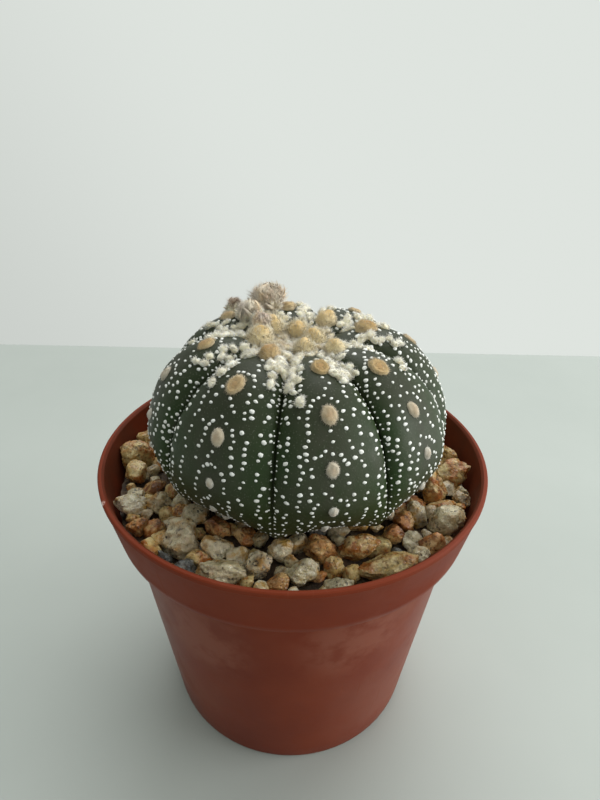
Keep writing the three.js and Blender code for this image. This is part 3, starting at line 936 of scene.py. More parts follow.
cushions = [
    felt_cushion("cushion_new", 2, 0.0, 480, 0.55, 0.95, 0.05),
    felt_cushion("cushion_young", 3, 0.30, 420, 0.31, 0.78, 0.2),
    felt_cushion("cushion_young_b", 4, 0.10, 420, 0.31, 0.85, 0.1),
    felt_cushion("cushion_full", 5, 0.05, 300, 0.26, 0.75, 0.1),
    felt_cushion("cushion_old", 6, 0.0, 200, 0.30, 0.85),
]
print("cushion:", len(cushions[0].data.polygons), "faces")

# %% [markdown]
# Each cushion is laid on the skin along its rib. Those near the crown stand up tall and lean
# outwards, and further down they sink to low buttons.

# %% Set the areoles on the skin
areole_spots, areole_tones, areole_marks = [], [], []
for rib in range(len(RIBS)):
    for distance, wide, long, age in areoles_of(rib):
        if distance < 2.5:
            continue
        sideways = rng.uniform(-0.05, 0.05) * (1 + 3 * (1 - age) ** 3)
        spot, normal = skin_at(rib, distance, sideways)
        down_rib = (skin_at(rib, distance + 1.5, sideways)[0] - spot).normalized()
        high = (1.0 + 1.7 * (1 - ease(distance, 11, 22)) - 0.3 * age) * rng.uniform(0.85, 1.15)
        lean = 0.35 * ease(distance, 6, 12) * (1 - ease(distance, 14, 26))
        kind = 4 if age > 0.75 else rng.choice((1, 2) if age < 0.3 else (2, 3))
        kind = 0 if distance < 9 else kind
        young = 1 + 0.16 * (1 - ease(distance, 9, 21))
        size = Vector((long * young, wide * young, 1.25 * high)) * MM * rng.uniform(0.9, 1.08)
        facing = (normal + down_rib * lean).normalized()
        matrix = standing_on(spot - normal * 0.12 * MM, facing, size, rng.uniform(-0.2, 0.2), down_rib)
        areole_spots.append((kind, matrix))
        tone = 0.30 * ease(distance, 8, 14) + 0.68 * age + rng.uniform(-0.06, 0.14)
        areole_tones.append(min(max(tone, 0), 1))
        areole_marks.append((spot, long * MM))
areoles = copies_of(cushions, areole_spots, "areoles", areole_tones)
put_away(cushions)
settle(areoles, "cactus_skin", "cactus")

# %% [markdown]
# Fresh felt is golden, with a paler foot and a darker top. It ages to tan and then to grey, so
# the tone of each cushion chooses between three ramps, and the height on the cushion picks the
# colour from the ramp.

# %% Felt
felt_material, tree, shader = new_material("areole_felt")
tone, top = carried(tree, "tone"), carried(tree, "top")
golden = ramp(tree, top, [(0.0, (0.80, 0.72, 0.52)), (0.35, (0.80, 0.68, 0.42)),
                          (0.70, (0.76, 0.57, 0.28)), (1.0, (0.62, 0.42, 0.17))])
tan = ramp(tree, top, [(0.0, (0.60, 0.49, 0.31)), (0.30, (0.54, 0.40, 0.20)),
                       (0.65, (0.46, 0.29, 0.11)), (1.0, (0.34, 0.19, 0.07))])
grey = ramp(tree, top, [(0.0, (0.70, 0.68, 0.62)), (0.5, (0.62, 0.59, 0.51)), (1.0, (0.48, 0.42, 0.34))])
from_golden = ramp(tree, tone, [(0.04, (0.0, 0.0, 0.0)), (0.28, (1.0, 1.0, 1.0))])
to_grey = ramp(tree, tone, [(0.30, (0.0, 0.0, 0.0)), (0.5, (0.2, 0.2, 0.2)), (0.85, (1.0, 1.0, 1.0))])
felt = blend(tree, to_grey, blend(tree, from_golden, golden, tan), grey)
felt = blend(tree, 0.28, felt, patched(tree, felt, (0.40, 0.27, 0.14), 1300, 0.42, 0.62))
finish(tree, shader, {
    "Base Color": felt, "Roughness": 0.95, "Specular IOR Level": 0.15, "Sheen Weight": 0.3,
})
bump(tree, shader, grain(tree, 9000, 2600), 0.00008, 0.8)
dress(felt_material, areoles)

# %% [markdown]
# ## Flecks
#
# The white flecks are tiny tufts of felt. An arch of them stands over each areole, with legs that
# run down both sides of it. Outside that they follow the flanks in chains, often two by two, and
# the smallest ones line both edges of each furrow. There are about two thousand, so each is a
# low dome of a few dozen faces.


# %% Model the flecks
def fleck(seed, sides):
    """A low dome with an uneven outline."""
    start_clean()
    bpy.ops.mesh.primitive_uv_sphere_add(segments=sides, ring_count=6, radius=1)
    piece = bpy.context.object
    with editing(piece):
        bpy.ops.transform.resize(value=(1, 1, 0.52))
        bpy.ops.transform.vertex_random(offset=0.24, seed=seed)
    return piece


fleck_kinds = [fleck(1, 8), fleck(2, 7), fleck(3, 9), fleck(4, 8)]
print("fleck:", len(fleck_kinds[0].data.polygons), "faces")

# %% [markdown]
# The lesson walks along each arch, leg and chain, and leaves out a fleck that would crowd
# another or stand on an areole.

# %% Walk along the arches and chains
ARCH_RADIUS = 3.1               # mm, from an areole's middle to its arch
CHAINS = (0.52, 0.78, 0.91)     # shares of a rib's half width
rng = random.Random(29)


def clear_of_areoles(spot, room):
    return all((spot - mark).length > reach + room for mark, reach in areole_marks)


def two_by_two():
    """Steps along a chain: pairs about a millimetre apart, with gaps between them."""
    while True:
        yield rng.uniform(0.95, 1.3)
        yield rng.choice((rng.uniform(1.1, 1.6), rng.uniform(1.7, 3.1)))


def fleck_places(rib):
    """Flecks of one rib as (distance, sideways, size), all in millimetres."""
    accepted = []

    def offer(distance, sideways, size, room=1.0):
        side = -1 if sideways < 0 else 1
        if not 5 < distance < 54 or abs(sideways) > half_width(rib, side, distance) - 0.55:
            return
        shrink = (1 - 0.45 * ease(distance, 40, 54)) * (1 + 0.4 * (1 - ease(distance, 13, 22)))
        for other in accepted:
            if math.hypot(other[0] - distance, other[1] - sideways) < room * shrink:
                return
        accepted.append((distance, sideways, size * shrink))

    levels = [distance for distance, _, _, _ in areoles_of(rib)]
    for level, after in zip(levels, levels[1:] + [60.0]):
        angle = -20.0
        while angle < 200:
            turn = math.radians(angle)
            reach = ARCH_RADIUS + rng.uniform(-0.4, 0.3)
            down = level - 1.05 * reach * math.sin(turn)
            offer(down, reach * math.cos(turn), rng.uniform(0.27, 0.43), 0.85)
            angle += rng.choice((rng.uniform(17, 22), rng.uniform(17, 22), rng.uniform(28, 38)))
        for side in (-1, 1):
            distance = level + 1.6
            for step in two_by_two():
                if distance > after - 1.5:
                    break
                drift = 0.14 * (distance - level)
                aside = ARCH_RADIUS + drift + rng.uniform(-0.35, 0.35)
                offer(distance, side * aside, rng.uniform(0.27, 0.43))
                distance += step
        distance = level + 2.7
        while distance < after - 2.6:
            offer(distance, rng.uniform(-1.6, 1.6), rng.uniform(0.28, 0.35), 1.25)
            distance += rng.uniform(0.9, 1.5)
    for share in CHAINS:
        for side in (-1, 1):
            distance = rng.uniform(9, 12)
            for step in two_by_two():
                if distance > 57:
                    break
                aside = share * half_width(rib, side, distance) + rng.uniform(-0.5, 0.5)
                if aside > 3.9 and (share < 0.9 or rng.random() < 0.55):
                    offer(distance, side * aside, rng.uniform(0.26, 0.45))
                distance += step * (1 - 0.3 * ease(distance, 40, 52))
    return accepted


# %% [markdown]
# Each fleck is laid on the skin with its long side across the rib. The finest ones are then sown
# along both edges of every furrow.

# %% Lay the flecks
fleck_spots, fleck_tones = [], []


def lay_fleck(rib, distance, sideways, size):
    side = -1 if sideways < 0 else 1
    across = sideways / half_width(rib, side, distance)
    spot, normal = skin_at(rib, distance, across)
    if spot is None or not clear_of_areoles(spot, 0.4 * MM):
        return
    shape = (size * rng.uniform(0.75, 0.95) * MM, size * rng.uniform(1.0, 1.25) * MM, size * MM)
    down = skin_at(rib, distance + 1.0, across)[0] - spot
    matrix = standing_on(spot, normal, shape, rng.uniform(-0.5, 0.5), down)
    fleck_spots.append((rng.randrange(4), matrix))
    fleck_tones.append(rng.random())


for rib in range(len(RIBS)):
    for distance, sideways, size in fleck_places(rib):
        lay_fleck(rib, distance, sideways, size)
    for side in (-1, 1):
        distance = 13.0
        while distance < 53:
            edge = half_width(rib, side, distance) - rng.uniform(0.35, 0.6)
            lay_fleck(rib, distance, side * edge, rng.uniform(0.15, 0.23))
            distance += rng.uniform(0.9, 1.9)
flecks = copies_of(fleck_kinds, fleck_spots, "flecks", fleck_tones)
put_away(fleck_kinds)
shade(flecks)
settle(flecks, "cactus_skin", "cactus")
print(len(fleck_spots), "flecks")

# %% [markdown]
# The flecks are plain white felt, some a little cleaner than others, with a nap too fine to see
# as more than a dull surface.

# %% White felt
white_material, tree, shader = new_material("white_felt")
white = blend(tree, carried(tree, "tone"), (0.78, 0.78, 0.73), (0.92, 0.93, 0.90))
finish(tree, shader, {"Base Color": white, "Roughness": 0.9, "Specular IOR Level": 0.2})
bump(tree, shader, grain(tree, 14000, 5000), 0.00004, 0.7)
dress(white_material, flecks)

# %% [markdown]
# ## Wool
#
# Near the crown the flecks swell into lumps of matted wool, which trail down both sides of each
# crest, close the dip in the middle and hold the feet of the dried flowers. A lump is a ball
# pushed out of shape. The lumps that touch are melted into one skin by a remesh, which noise
# then mats, and tufts of hair are laid all over it.


# %% Model the wool
def wool_ball(name, seed):
    """A ball pushed out of shape."""
    start_clean()
    bpy.ops.mesh.primitive_ico_sphere_add(subdivisions=2, radius=1)
    ball = bpy.context.object
    ball.name = name
    with editing(ball):
        bpy.ops.transform.resize(value=(1.15, 0.9, 0.85))
        bpy.ops.transform.vertex_random(offset=0.13, seed=seed)
    return ball


def hair_tuft(name, seed, length, thick, spread):
    """Eight hairs that fan out from one foot."""
    hair = fibre(length, thick)
    draw = random.Random(seed)
    spots = []
    for _ in range(8):
        way = Vector((draw.gauss(0, spread), draw.gauss(0, spread), 1)).normalized()
        foot = Vector((draw.uniform(-0.2, 0.2), draw.uniform(-0.2, 0.2), 0))
        size = (1, 1, draw.uniform(0.6, 1.2))
        spots.append((0, standing_on(foot, way, size, along=Vector((1, 0, 0)))))
    tuft = copies_of([hair], spots, name)
    put_away([hair])
    return tuft


lumps = [wool_ball(f"wool_ball_{number}", 20 + number) for number in range(6)]
tufts = [hair_tuft(f"hair_tuft_{number}", 60 + number, 0.85, 0.046, 0.65) for number in range(4)]
print("wool ball:", len(lumps[0].data.polygons), "faces, tuft:", len(tufts[0].data.polygons), "faces")

# %% [markdown]
# Each side of each rib has its own train of wool, which ends where the list says. Lumps are
# thrown at random places and kept where wool is likely and there is room. Round each dried
# flower's foot they lie in two layers, the upper one drawn in.

# %% Trail the wool down the ribs
WOOL_ENDS = [(26.5, 21.0), (20.0, 25.0), (24.0, 23.0), (24.0, 22.0), (22.0, 23.0), (24.0, 23.0),
             (25.0, 24.0), (28.0, 24.5)]
WOOLLY_RIBS = (4, 5, 6)
COLLAR_LUMPS = 11
rng = random.Random(41)
wool_spots, wool_marks = [], []


def wool_share(distance, sideways, end):
    """How likely wool is at a place: all over the crown, then in trains beside the crest."""
    train = math.exp(-((sideways - 1.9 - 0.13 * distance) / (1.35 - 0.02 * distance)) ** 2)
    return max(0.6 * (1 - ease(distance, 3, 10)), train * (1 - ease(distance, end - 5, end)))


def lay_wool(rib, distance, sideways, size, room):
    side = -1 if sideways < 0 else 1
    across = sideways / max(half_width(rib, side, distance), 0.1)
    if abs(across) > 0.93:
        return
    spot, normal = skin_at(rib, distance, across)
    if spot is None or not clear_of_areoles(spot, 0.1 * size * MM):
        return
    patchy = noise.noise(spot / MM * 0.33 + Vector((7, 3, 1)))
    if patchy < (-0.25 if rib in WOOLLY_RIBS else -0.05) and distance > 3:
        return
    if any((spot - other).length < room * MM for other in wool_marks):
        return
    wool_marks.append(spot)
    stretch = rng.uniform(0.8, 1.25)
    shape = Vector((size * stretch, size / stretch, size * rng.uniform(0.7, 1.0))) * MM
    matrix = standing_on(spot + normal * 0.15 * size * MM, normal, shape, rng.uniform(0, ANY_TURN))
    wool_spots.append((rng.randrange(len(lumps)), matrix))


for rib, ends in enumerate(WOOL_ENDS):
    for side, end in zip((-1, 1), ends):
        for _ in range(420):
            distance = rng.uniform(0.5, end)
            sideways = rng.uniform(0.0, half_width(rib, side, distance))
            if rng.random() < wool_share(distance, sideways, end):
                lay_wool(rib, distance, side * sideways, rng.uniform(0.70, 1.10), 1.4)
for name in DRIED:
    low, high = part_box(name)
    middle, half = (low + high) / 2, (high - low) / 2
    for number in range(COLLAR_LUMPS):
        angle, reach = number * GOLDEN_ANGLE, 0.95 * math.sqrt((number + 0.5) / COLLAR_LUMPS)
        for drawn_in, rise in ((1.0, 0.5), (0.7, 1.7)):
            aside = Vector((half.x * math.cos(angle), half.y * math.sin(angle), 0)) * reach * drawn_in
            hit, normal, _, _ = stem_tree.ray_cast(middle + aside, Vector((0, 0, -1)))
            size = rng.uniform(0.7, 1.1) * MM
            shape = (size, size, 1.2 * size)
            place = standing_on(hit + normal * rise * size, normal, shape, rng.uniform(0, ANY_TURN))
            wool_spots.append((rng.randrange(len(lumps)), place))
print(len(wool_spots), "lumps of wool")
wool = copies_of(lumps, wool_spots, "wool")
put_away(lumps)
apply_modifier(wool, "REMESH", mode="VOXEL", voxel_size=0.20 * MM)
roughen(wool, "matted", 0.0008, 0.00028)
print("matted wool:", len(wool.data.polygons), "faces")

# %% [markdown]
# Tufts of hair are laid on faces of the wool picked at random, though not where it meets the
# skin. They make two pieces, left and right, to keep each of them light. The tone of the wool
# says how far from the middle of the crown it lies.

# %% Raise the hairs
tuft_spots = []
faces = wool.data.polygons
for number in rng.sample(range(len(faces)), 9500):
    spot, normal = Vector(faces[number].center), Vector(faces[number].normal)
    if stem_tree.find_nearest(spot)[3] < 0.2 * MM or normal.z < -0.4:
        continue
    size = rng.uniform(0.65, 1.10) * MM
    place = standing_on(spot - normal * 0.12 * MM, normal, (size, size, size), rng.uniform(0, ANY_TURN))
    tuft_spots.append((rng.randrange(len(tufts)), place))
left = [place for place in tuft_spots if place[1].translation.x < STEM_AXIS.x * MM]
right = [place for place in tuft_spots if place[1].translation.x >= STEM_AXIS.x * MM]
woolly = [wool, copies_of(tufts, left, "wool_hairs_left"), copies_of(tufts, right, "wool_hairs_right")]
put_away(tufts)
for piece in woolly:
    outs = [math.hypot(v.co.x / MM - STEM_AXIS.x, v.co.y / MM - STEM_AXIS.y) for v in piece.data.vertices]
    carry(piece, "tone", [ease(out, 2, 13) for out in outs])
    shade(piece)
    settle(piece, "cactus_skin", "cactus")
print(len(tuft_spots), "tufts of hair")

# %% [markdown]
# The wool is a warm cream in the middle of the crown and paler outwards, with whiter patches.
# Light sinks a little way into it and comes out again, which keeps its shadows soft.

# %% Wool finish
wool_material, tree, shader = new_material("cream_wool")
cream = blend(tree, carried(tree, "tone"), (0.72, 0.57, 0.33), (0.85, 0.79, 0.61))
finish(tree, shader, {
    "Base Color": patched(tree, cream, (0.94, 0.91, 0.80), 450, 0.42, 0.68),
    "Roughness": 0.95, "Specular IOR Level": 0.1, "Sheen Weight": 0.4,
    "Subsurface Weight": 0.5, "Subsurface Radius": (1.0, 0.9, 0.7), "Subsurface Scale": 0.001,
})
bump(tree, shader, grain(tree, 9000, 3000), 0.0001, 0.8)
dress(wool_material, *woolly)

# %% [markdown]
# ## Dried flowers
#
# Old flowers dry to a papery bundle: narrow scales and many fine bristles, brown and grey,
# folded over each other round a barrel-shaped core. Three scales and two tufts of bristles are
# modelled and copied round the core in turns, from its foot to its top.


# %% Model the scales and bristles
def papery_scale(name, bend, twist):
    """A thin tapering strip one unit long, closed all round, that curls towards +X."""
    start_clean()
    bpy.ops.mesh.primitive_circle_add(vertices=6, radius=0.13, fill_type="NGON", location=(0, 0, 0))
    strip = bpy.context.object
    strip.name = name
    with editing(strip):
        bpy.ops.transform.resize(value=(0.28, 1, 1))
        centre = Vector((0, 0, 0))
        for step, width in enumerate((1.25, 1.15, 0.9, 0.75, 0.5)):
            move = Vector((bend * (step - 1) * 0.05, twist * 0.03, 0.19))
            bpy.ops.mesh.extrude_region_move(TRANSFORM_OT_translate={"value": move})
            centre += move
            bpy.ops.transform.resize(value=(width, width, 1), center_override=centre)
        bpy.ops.mesh.extrude_region_move(TRANSFORM_OT_translate={"value": (0.02 * bend, 0, 0.08)})
        bpy.ops.mesh.merge(type="CENTER")
        bpy.ops.mesh.select_all(action="SELECT")
        bpy.ops.mesh.normals_make_consistent(inside=False)
    return strip


SCALES, BRISTLES = (0, 0, 1, 1, 2), (3, 4)      # kinds, as often as they are drawn
scales = [
    papery_scale("scale_curled", 2.6, 0.6),
    papery_scale("scale_bent", 1.5, -0.8),
    papery_scale("scale_straight", 0.3, 0.5),
    hair_tuft("bristles_a", 71, 1.0, 0.030, 0.20),
    hair_tuft("bristles_b", 72, 1.0, 0.030, 0.32),
]

# %% [markdown]
# The core fills the lower part of the flower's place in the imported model. It is a ball drawn
# towards a drum and crumpled. Every ninth copy on it is a scale and the others are bristles. The
# copies low down are the longest. They rise along the core's side, and some stand off it. Each
# copy's tone says how pale it is: as wool at the foot, and of the flower's own tint above.


# %% Build the flowers
def dried_flower(name, lean, seed, count, tint):
    """Fills the box of the CAD flower of that name with scales and bristles."""
    low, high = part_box(name)
    middle, half = (low + high) / 2, (high - low) / 2

    def tone_at(height):
        return tint + (1 - tint) * (1 - ease((height - low.z) / (high.z - low.z), 0.15, 0.6))

    start_clean()
    bpy.ops.mesh.primitive_uv_sphere_add(segments=24, ring_count=14, radius=1)
    core = bpy.context.object
    apply_modifier(core, "CAST", cast_type="CYLINDER", factor=0.6)
    with editing(core):
        bpy.ops.transform.resize(value=(half.x * 0.72, half.y * 0.72, half.z * 0.76))
        bpy.ops.transform.vertex_random(offset=half.x * 0.06, seed=seed)
        bpy.ops.transform.translate(value=middle - Vector((0, 0, half.z * 0.24)))
    roughen(core, name + "_crumpled", half.x * 0.7, half.x * 0.7, coords="GLOBAL")
    surface = BVHTree.FromObject(core, bpy.context.evaluated_depsgraph_get())
    draw = random.Random(seed)
    spots, tones = [], []
    for number in range(count):
        angle = number * GOLDEN_ANGLE
        share = number / count
        rise = -0.9 + 1.85 * share
        flat = math.sqrt(max(1 - rise * rise, 0.02))
        outward = Vector((math.cos(angle), math.sin(angle), 0))
        ray = Vector((outward.x * half.x * flat, outward.y * half.y * flat, rise * half.z))
        foot, normal, _, _ = surface.ray_cast(middle + ray * 2, -ray)
        if foot is None:
            continue
        up = (Vector((0, 0, 1)) - normal * normal.z + Vector(lean)).normalized()
        bristles = number % 9 > 0
        spread = 0.9 * draw.random() ** 2.5 if bristles else draw.uniform(0.0, 0.3)
        up += normal * spread + Vector([draw.uniform(-0.25, 0.25) for _ in range(3)])
        length = half.z * draw.uniform(0.6, 1.1) * (1.15 - 0.75 * share)
        kind = draw.choice(BRISTLES if bristles else SCALES)
        girth = half.x * draw.uniform(0.5, 0.8) * (1.0 if bristles else 1.25)
        foot_in = foot - normal * 0.1 * MM
        size = (girth, girth, length)
        spots.append((kind, standing_on(foot_in, up.normalized(), size, 0.0, -outward)))
        patch = 0.45 * noise.noise(foot / MM * 0.5)
        tone = tone_at(foot.z) + patch + (draw.uniform(-0.2, 0.25) if bristles else draw.uniform(-0.40, 0.10))
        tones.append(min(max(tone, 0), 1))
    bundle = copies_of(scales, spots, name + "_bundle", tones)
    carry(core, "tone", [tone_at(v.co.z) - 0.2 for v in core.data.vertices])
    work_on(bundle)
    core.select_set(True)
    bpy.context.view_layer.objects.active = core
    bpy.ops.object.join()
    core.name = name.replace("dried", "withered")
    shade(core)
    settle(core, "dried_flower", name)
    return core


FLOWER_FORMS = [                # the way it leans, seed, number of copies and tint
    ((-0.15, 0.0, 0.0), 5, 640, 0.70),
    ((-0.1, -0.1, 0.0), 6, 520, 0.84),
    ((0.1, -0.3, 0.0), 7, 380, 0.56),
    ((0.0, 0.0, 0.0), 8, 200, 0.34),
]
flowers = [dried_flower(name, *form) for name, form in zip(DRIED, FLOWER_FORMS)]
put_away(scales)

# %% [markdown]
# Dried petals are brown where they are dark and cream where they are pale. Patches of ochre and
# of a greyish lilac lie over that, and fine dark streaks run through it.

# %% Papery finish
flower_material, tree, shader = new_material("papery_brown")
papery = ramp(tree, carried(tree, "tone"), [(0.0, (0.28, 0.18, 0.12)), (0.3, (0.60, 0.46, 0.36)),
                                            (0.6, (0.82, 0.72, 0.58)), (1.0, (0.95, 0.88, 0.72))])
papery = patched(tree, papery, (0.74, 0.52, 0.26), 330, 0.50, 0.62, 0.5)
papery = patched(tree, papery, (0.58, 0.51, 0.47), 250, 0.50, 0.62, 0.6)
papery = blend(tree, 0.30, papery, patched(tree, papery, (0.24, 0.14, 0.11), 1500, 0.4, 0.7))
finish(tree, shader, {"Base Color": papery, "Roughness": 0.85, "Specular IOR Level": 0.25})
bump(tree, shader, grain(tree, 8000, 2500), 0.00008, 0.7)
dress(flower_material, *flowers)

# %% [markdown]
# ## Crushed stone
#
# The top dressing is crushed granite and quartz, tumbled a little, so that its stones have flat
# breaks with soft edges. A stone starts as a ball. Flat cuts at random angles break pieces off,
# a fine remesh softens the edges, and three sizes of noise swell, chip and pit the faces.


# %% Break the stones
def crushed_stone(name, seed, cuts, fineness):
    """A stone that fills a box of two units, with flat breaks and pitted faces."""
    start_clean()
    bpy.ops.mesh.primitive_ico_sphere_add(subdivisions=3, radius=1)
    stone = bpy.context.object
    stone.name = name
    draw = random.Random(seed)
    with editing(stone):
        for _ in range(cuts):
            way = Vector([draw.gauss(0, 1) for _ in range(3)]).normalized()
            bpy.ops.mesh.select_all(action="SELECT")
            bpy.ops.mesh.bisect(
                plane_co=way * draw.uniform(0.46, 0.78), plane_no=way, use_fill=True, clear_outer=True
            )
    apply_modifier(stone, "REMESH", mode="VOXEL", voxel_size=fineness)
    apply_modifier(stone, "SMOOTH", factor=0.5, iterations=1)
    roughen(stone, name + "_broad", 0.75, 0.10)
    roughen(stone, name + "_chips", 0.45, 0.15, "VORONOI")
    roughen(stone, name + "_pits", 0.17, 0.15)
    low = [min(v.co[axis] for v in stone.data.vertices) for axis in range(3)]
    high = [max(v.co[axis] for v in stone.data.vertices) for axis in range(3)]
    with editing(stone):
        bpy.ops.transform.translate(value=[-(a + b) / 2 for a, b in zip(low, high)])
        bpy.ops.transform.resize(
            value=[2 / (b - a) for a, b in zip(low, high)], center_override=(0, 0, 0)
        )
    shade(stone, 32)
    return stone


FORMS = 10
big_stones = [crushed_stone(f"big_stone_{n}", 100 + n, 9 + n % 5, 0.085) for n in range(FORMS)]
small_stones = [crushed_stone(f"small_stone_{n}", 200 + n, 8 + n % 4, 0.17) for n in range(FORMS)]
stone_forms = big_stones + small_stones
print("stones:", [len(stone.data.polygons) for stone in stone_forms])

# %% [markdown]
# The stones that stand out in view have their own places, given as an angle round the pot and a
# distance from its middle, with their width, depth and height. Smaller ones fill the room that is
# left, each thrown at a random place and kept if it finds space. The layer is banked up towards
# the plant.

# %% Lay the stones
GRIT_LEVEL = 61.6
BANK = 1.9
GRIT_IN, GRIT_OUT = 21.0, 38.6
MARKED_STONES = [
    ("ochre", 177, 36.6, (6.2, 5.0, 6.6)), ("quartz", 203, 37.0, (6.2, 4.4, 4.0)),
    ("granite", 207, 31.6, (4.8, 4.0, 5.0)), ("granite", 229, 32.5, (7.6, 6.0, 6.4)),
    ("rust", 237, 26.2, (4.2, 3.4, 3.6)), ("slate", 239, 37.0, (3.8, 3.0, 3.2)),
    ("granite", 243, 30.4, (5.0, 4.2, 4.4)), ("granite", 249, 35.0, (8.0, 4.6, 4.4)),
    ("rust", 250, 26.0, (3.9, 3.2, 3.2)), ("granite", 259, 31.4, (4.2, 3.8, 4.0)),
    ("quartz", 266, 27.8, (3.9, 3.4, 4.2)), ("rust", 266, 34.4, (4.0, 3.0, 3.0)),
    ("quartz", 274, 32.4, (4.8, 4.0, 4.4)), ("rust", 282, 27.4, (5.6, 4.0, 4.6)),
    ("granite", 284, 36.4, (4.4, 3.0, 3.0)), ("ochre", 296, 29.0, (7.4, 3.6, 4.4)),
    ("ochre", 301, 35.0, (9.2, 5.8, 4.6)), ("granite", 312, 36.6, (3.8, 3.4, 3.6)),
    ("rust", 313, 29.6, (3.6, 3.2, 3.6)), ("quartz", 328, 30.5, (3.4, 3.2, 5.0)),
    ("granite", 329, 36.4, (6.0, 5.2, 6.6)), ("ochre", 345, 32.4, (5.0, 4.6, 6.8)),
    ("granite", 345, 38.0, (3.2, 3.0, 3.2)), ("ochre", 356, 36.2, (6.4, 5.2, 6.0)),
    ("ochre", 9, 36.8, (4.6, 4.4, 5.0)), ("ochre", 164, 37.6, (4.2, 3.6, 4.0)),
    ("rust", 213, 37.0, (3.6, 3.0, 3.2)), ("ochre", 217, 28.2, (3.6, 3.0, 3.0)),
]
KINDS = ("ochre", "granite", "quartz", "rust", "slate")
KIND_SHARES = (0.38, 0.25, 0.13, 0.21, 0.03)
rng = random.Random(7)


def grit_level(out):
    return GRIT_LEVEL + BANK * (1 - ease(out, 23, 33))


stone_spots = {kind: [] for kind in KINDS}
stone_tones = {kind: [] for kind in KINDS}
taken = []


def lay_stone(kind, place, size, form, tilt):
    """One copy: size is its width, depth and height in millimetres."""
    angle = rng.uniform(-tilt, tilt)
    turn = Matrix.Rotation(angle, 4, Vector([rng.gauss(0, 1) for _ in range(3)]).normalized())
    flip = Matrix.Rotation(math.pi * rng.randrange(2), 4, "X")
    flip = flip @ Matrix.Rotation(math.pi * rng.randrange(2), 4, "Z")
    scale = Matrix.Diagonal((*(Vector(size) * 0.5 * MM), 1))
    stone_spots[kind].append((form, Matrix.Translation(place * MM) @ turn @ scale @ flip))
    stone_tones[kind].append(rng.random())


for number, (kind, azimuth, out, size) in enumerate(MARKED_STONES):
    angle = math.radians(azimuth)
    height = grit_level(out) + 0.18 * size[2]
    place = Vector((out * math.cos(angle), out * math.sin(angle), height))
    lay_stone(kind, place, [1.28 * part for part in size], number % FORMS, 0.15)
    taken.append((place.x, place.y, (size[0] + size[1]) / 4))
for attempt in range(5200):
    out = math.sqrt(rng.uniform(GRIT_IN ** 2, GRIT_OUT ** 2))
    angle = rng.uniform(0, math.tau)
    girth = rng.uniform(4.0, 5.6) if attempt < 1500 else rng.uniform(2.4, 4.0)
    x, y = out * math.cos(angle), out * math.sin(angle)
    if out + girth / 2 > 39.9:
        continue
    if any(math.hypot(x - a, y - b) < 0.80 * (girth / 2 + room) for a, b, room in taken):
        continue
    taken.append((x, y, girth / 2))
    height = grit_level(out) + rng.uniform(-0.12, 0.2) * girth
    kind = rng.choices(KINDS, KIND_SHARES)[0]
    size = [girth * rng.uniform(*span) for span in ((0.85, 1.25), (0.8, 1.1), (0.8, 1.1))]
    lay_stone(kind, Vector((x, y, height)), size, FORMS + rng.randrange(FORMS), 1.0)
print(len(taken), "stones on top")

# %% [markdown]
# The copies are joined kind by kind, because each kind takes a finish of its own.

# %% Join the stones by kind
stones = {}
for kind in KINDS:
    stones[kind] = copies_of(stone_forms, stone_spots[kind], "stones_" + kind, stone_tones[kind])
    settle(stones[kind], "grit_stone", "grit")
put_away(stone_forms)

# %% [markdown]
# Under them lies the fine grit that fills the gaps. It is a ring turned to the same bank, just
# below the stones, and roughened. Its near-black colour is painted shade for the deep gaps
# between the stones.

# %% Fine grit
BED_FLOOR = 58.25
bed_outline = [(12.0, BED_FLOOR), (38.6, BED_FLOOR), (39.15, 59.4), (39.2, 59.9), (36.0, 60.0),
               (33.0, 60.0), (30.0, 60.3), (27.0, 61.0), (24.0, 61.6), (20.0, 62.0), (12.0, 61.0),
               (12.0, BED_FLOOR)]
# Painted shade: this bed under the stones is near black, for the deep gaps between them.
bed = turned("grit_bed_shade", bed_outline, 96)
apply_modifier(bed, "SUBSURF", subdivision_type="SIMPLE", levels=2, render_levels=2)
roughen(bed, "crumbs", 0.0016, 0.0007, middle=0.6)
shade(bed, 50)
settle(bed, "grit_stone", "grit")

# %% [markdown]
# ## Stone finishes
#
# Granite is a mass of small crystals: pale feldspar, grey quartz and black mica, stained by
# rust. A cell pattern gives each crystal its colour, and the hollows of a stone are darkened with
# painted shade. The kinds differ in that mixture, so they share one builder with their own
# colours. A stone's tone shifts its patterns, so that no two stones of a kind are alike.


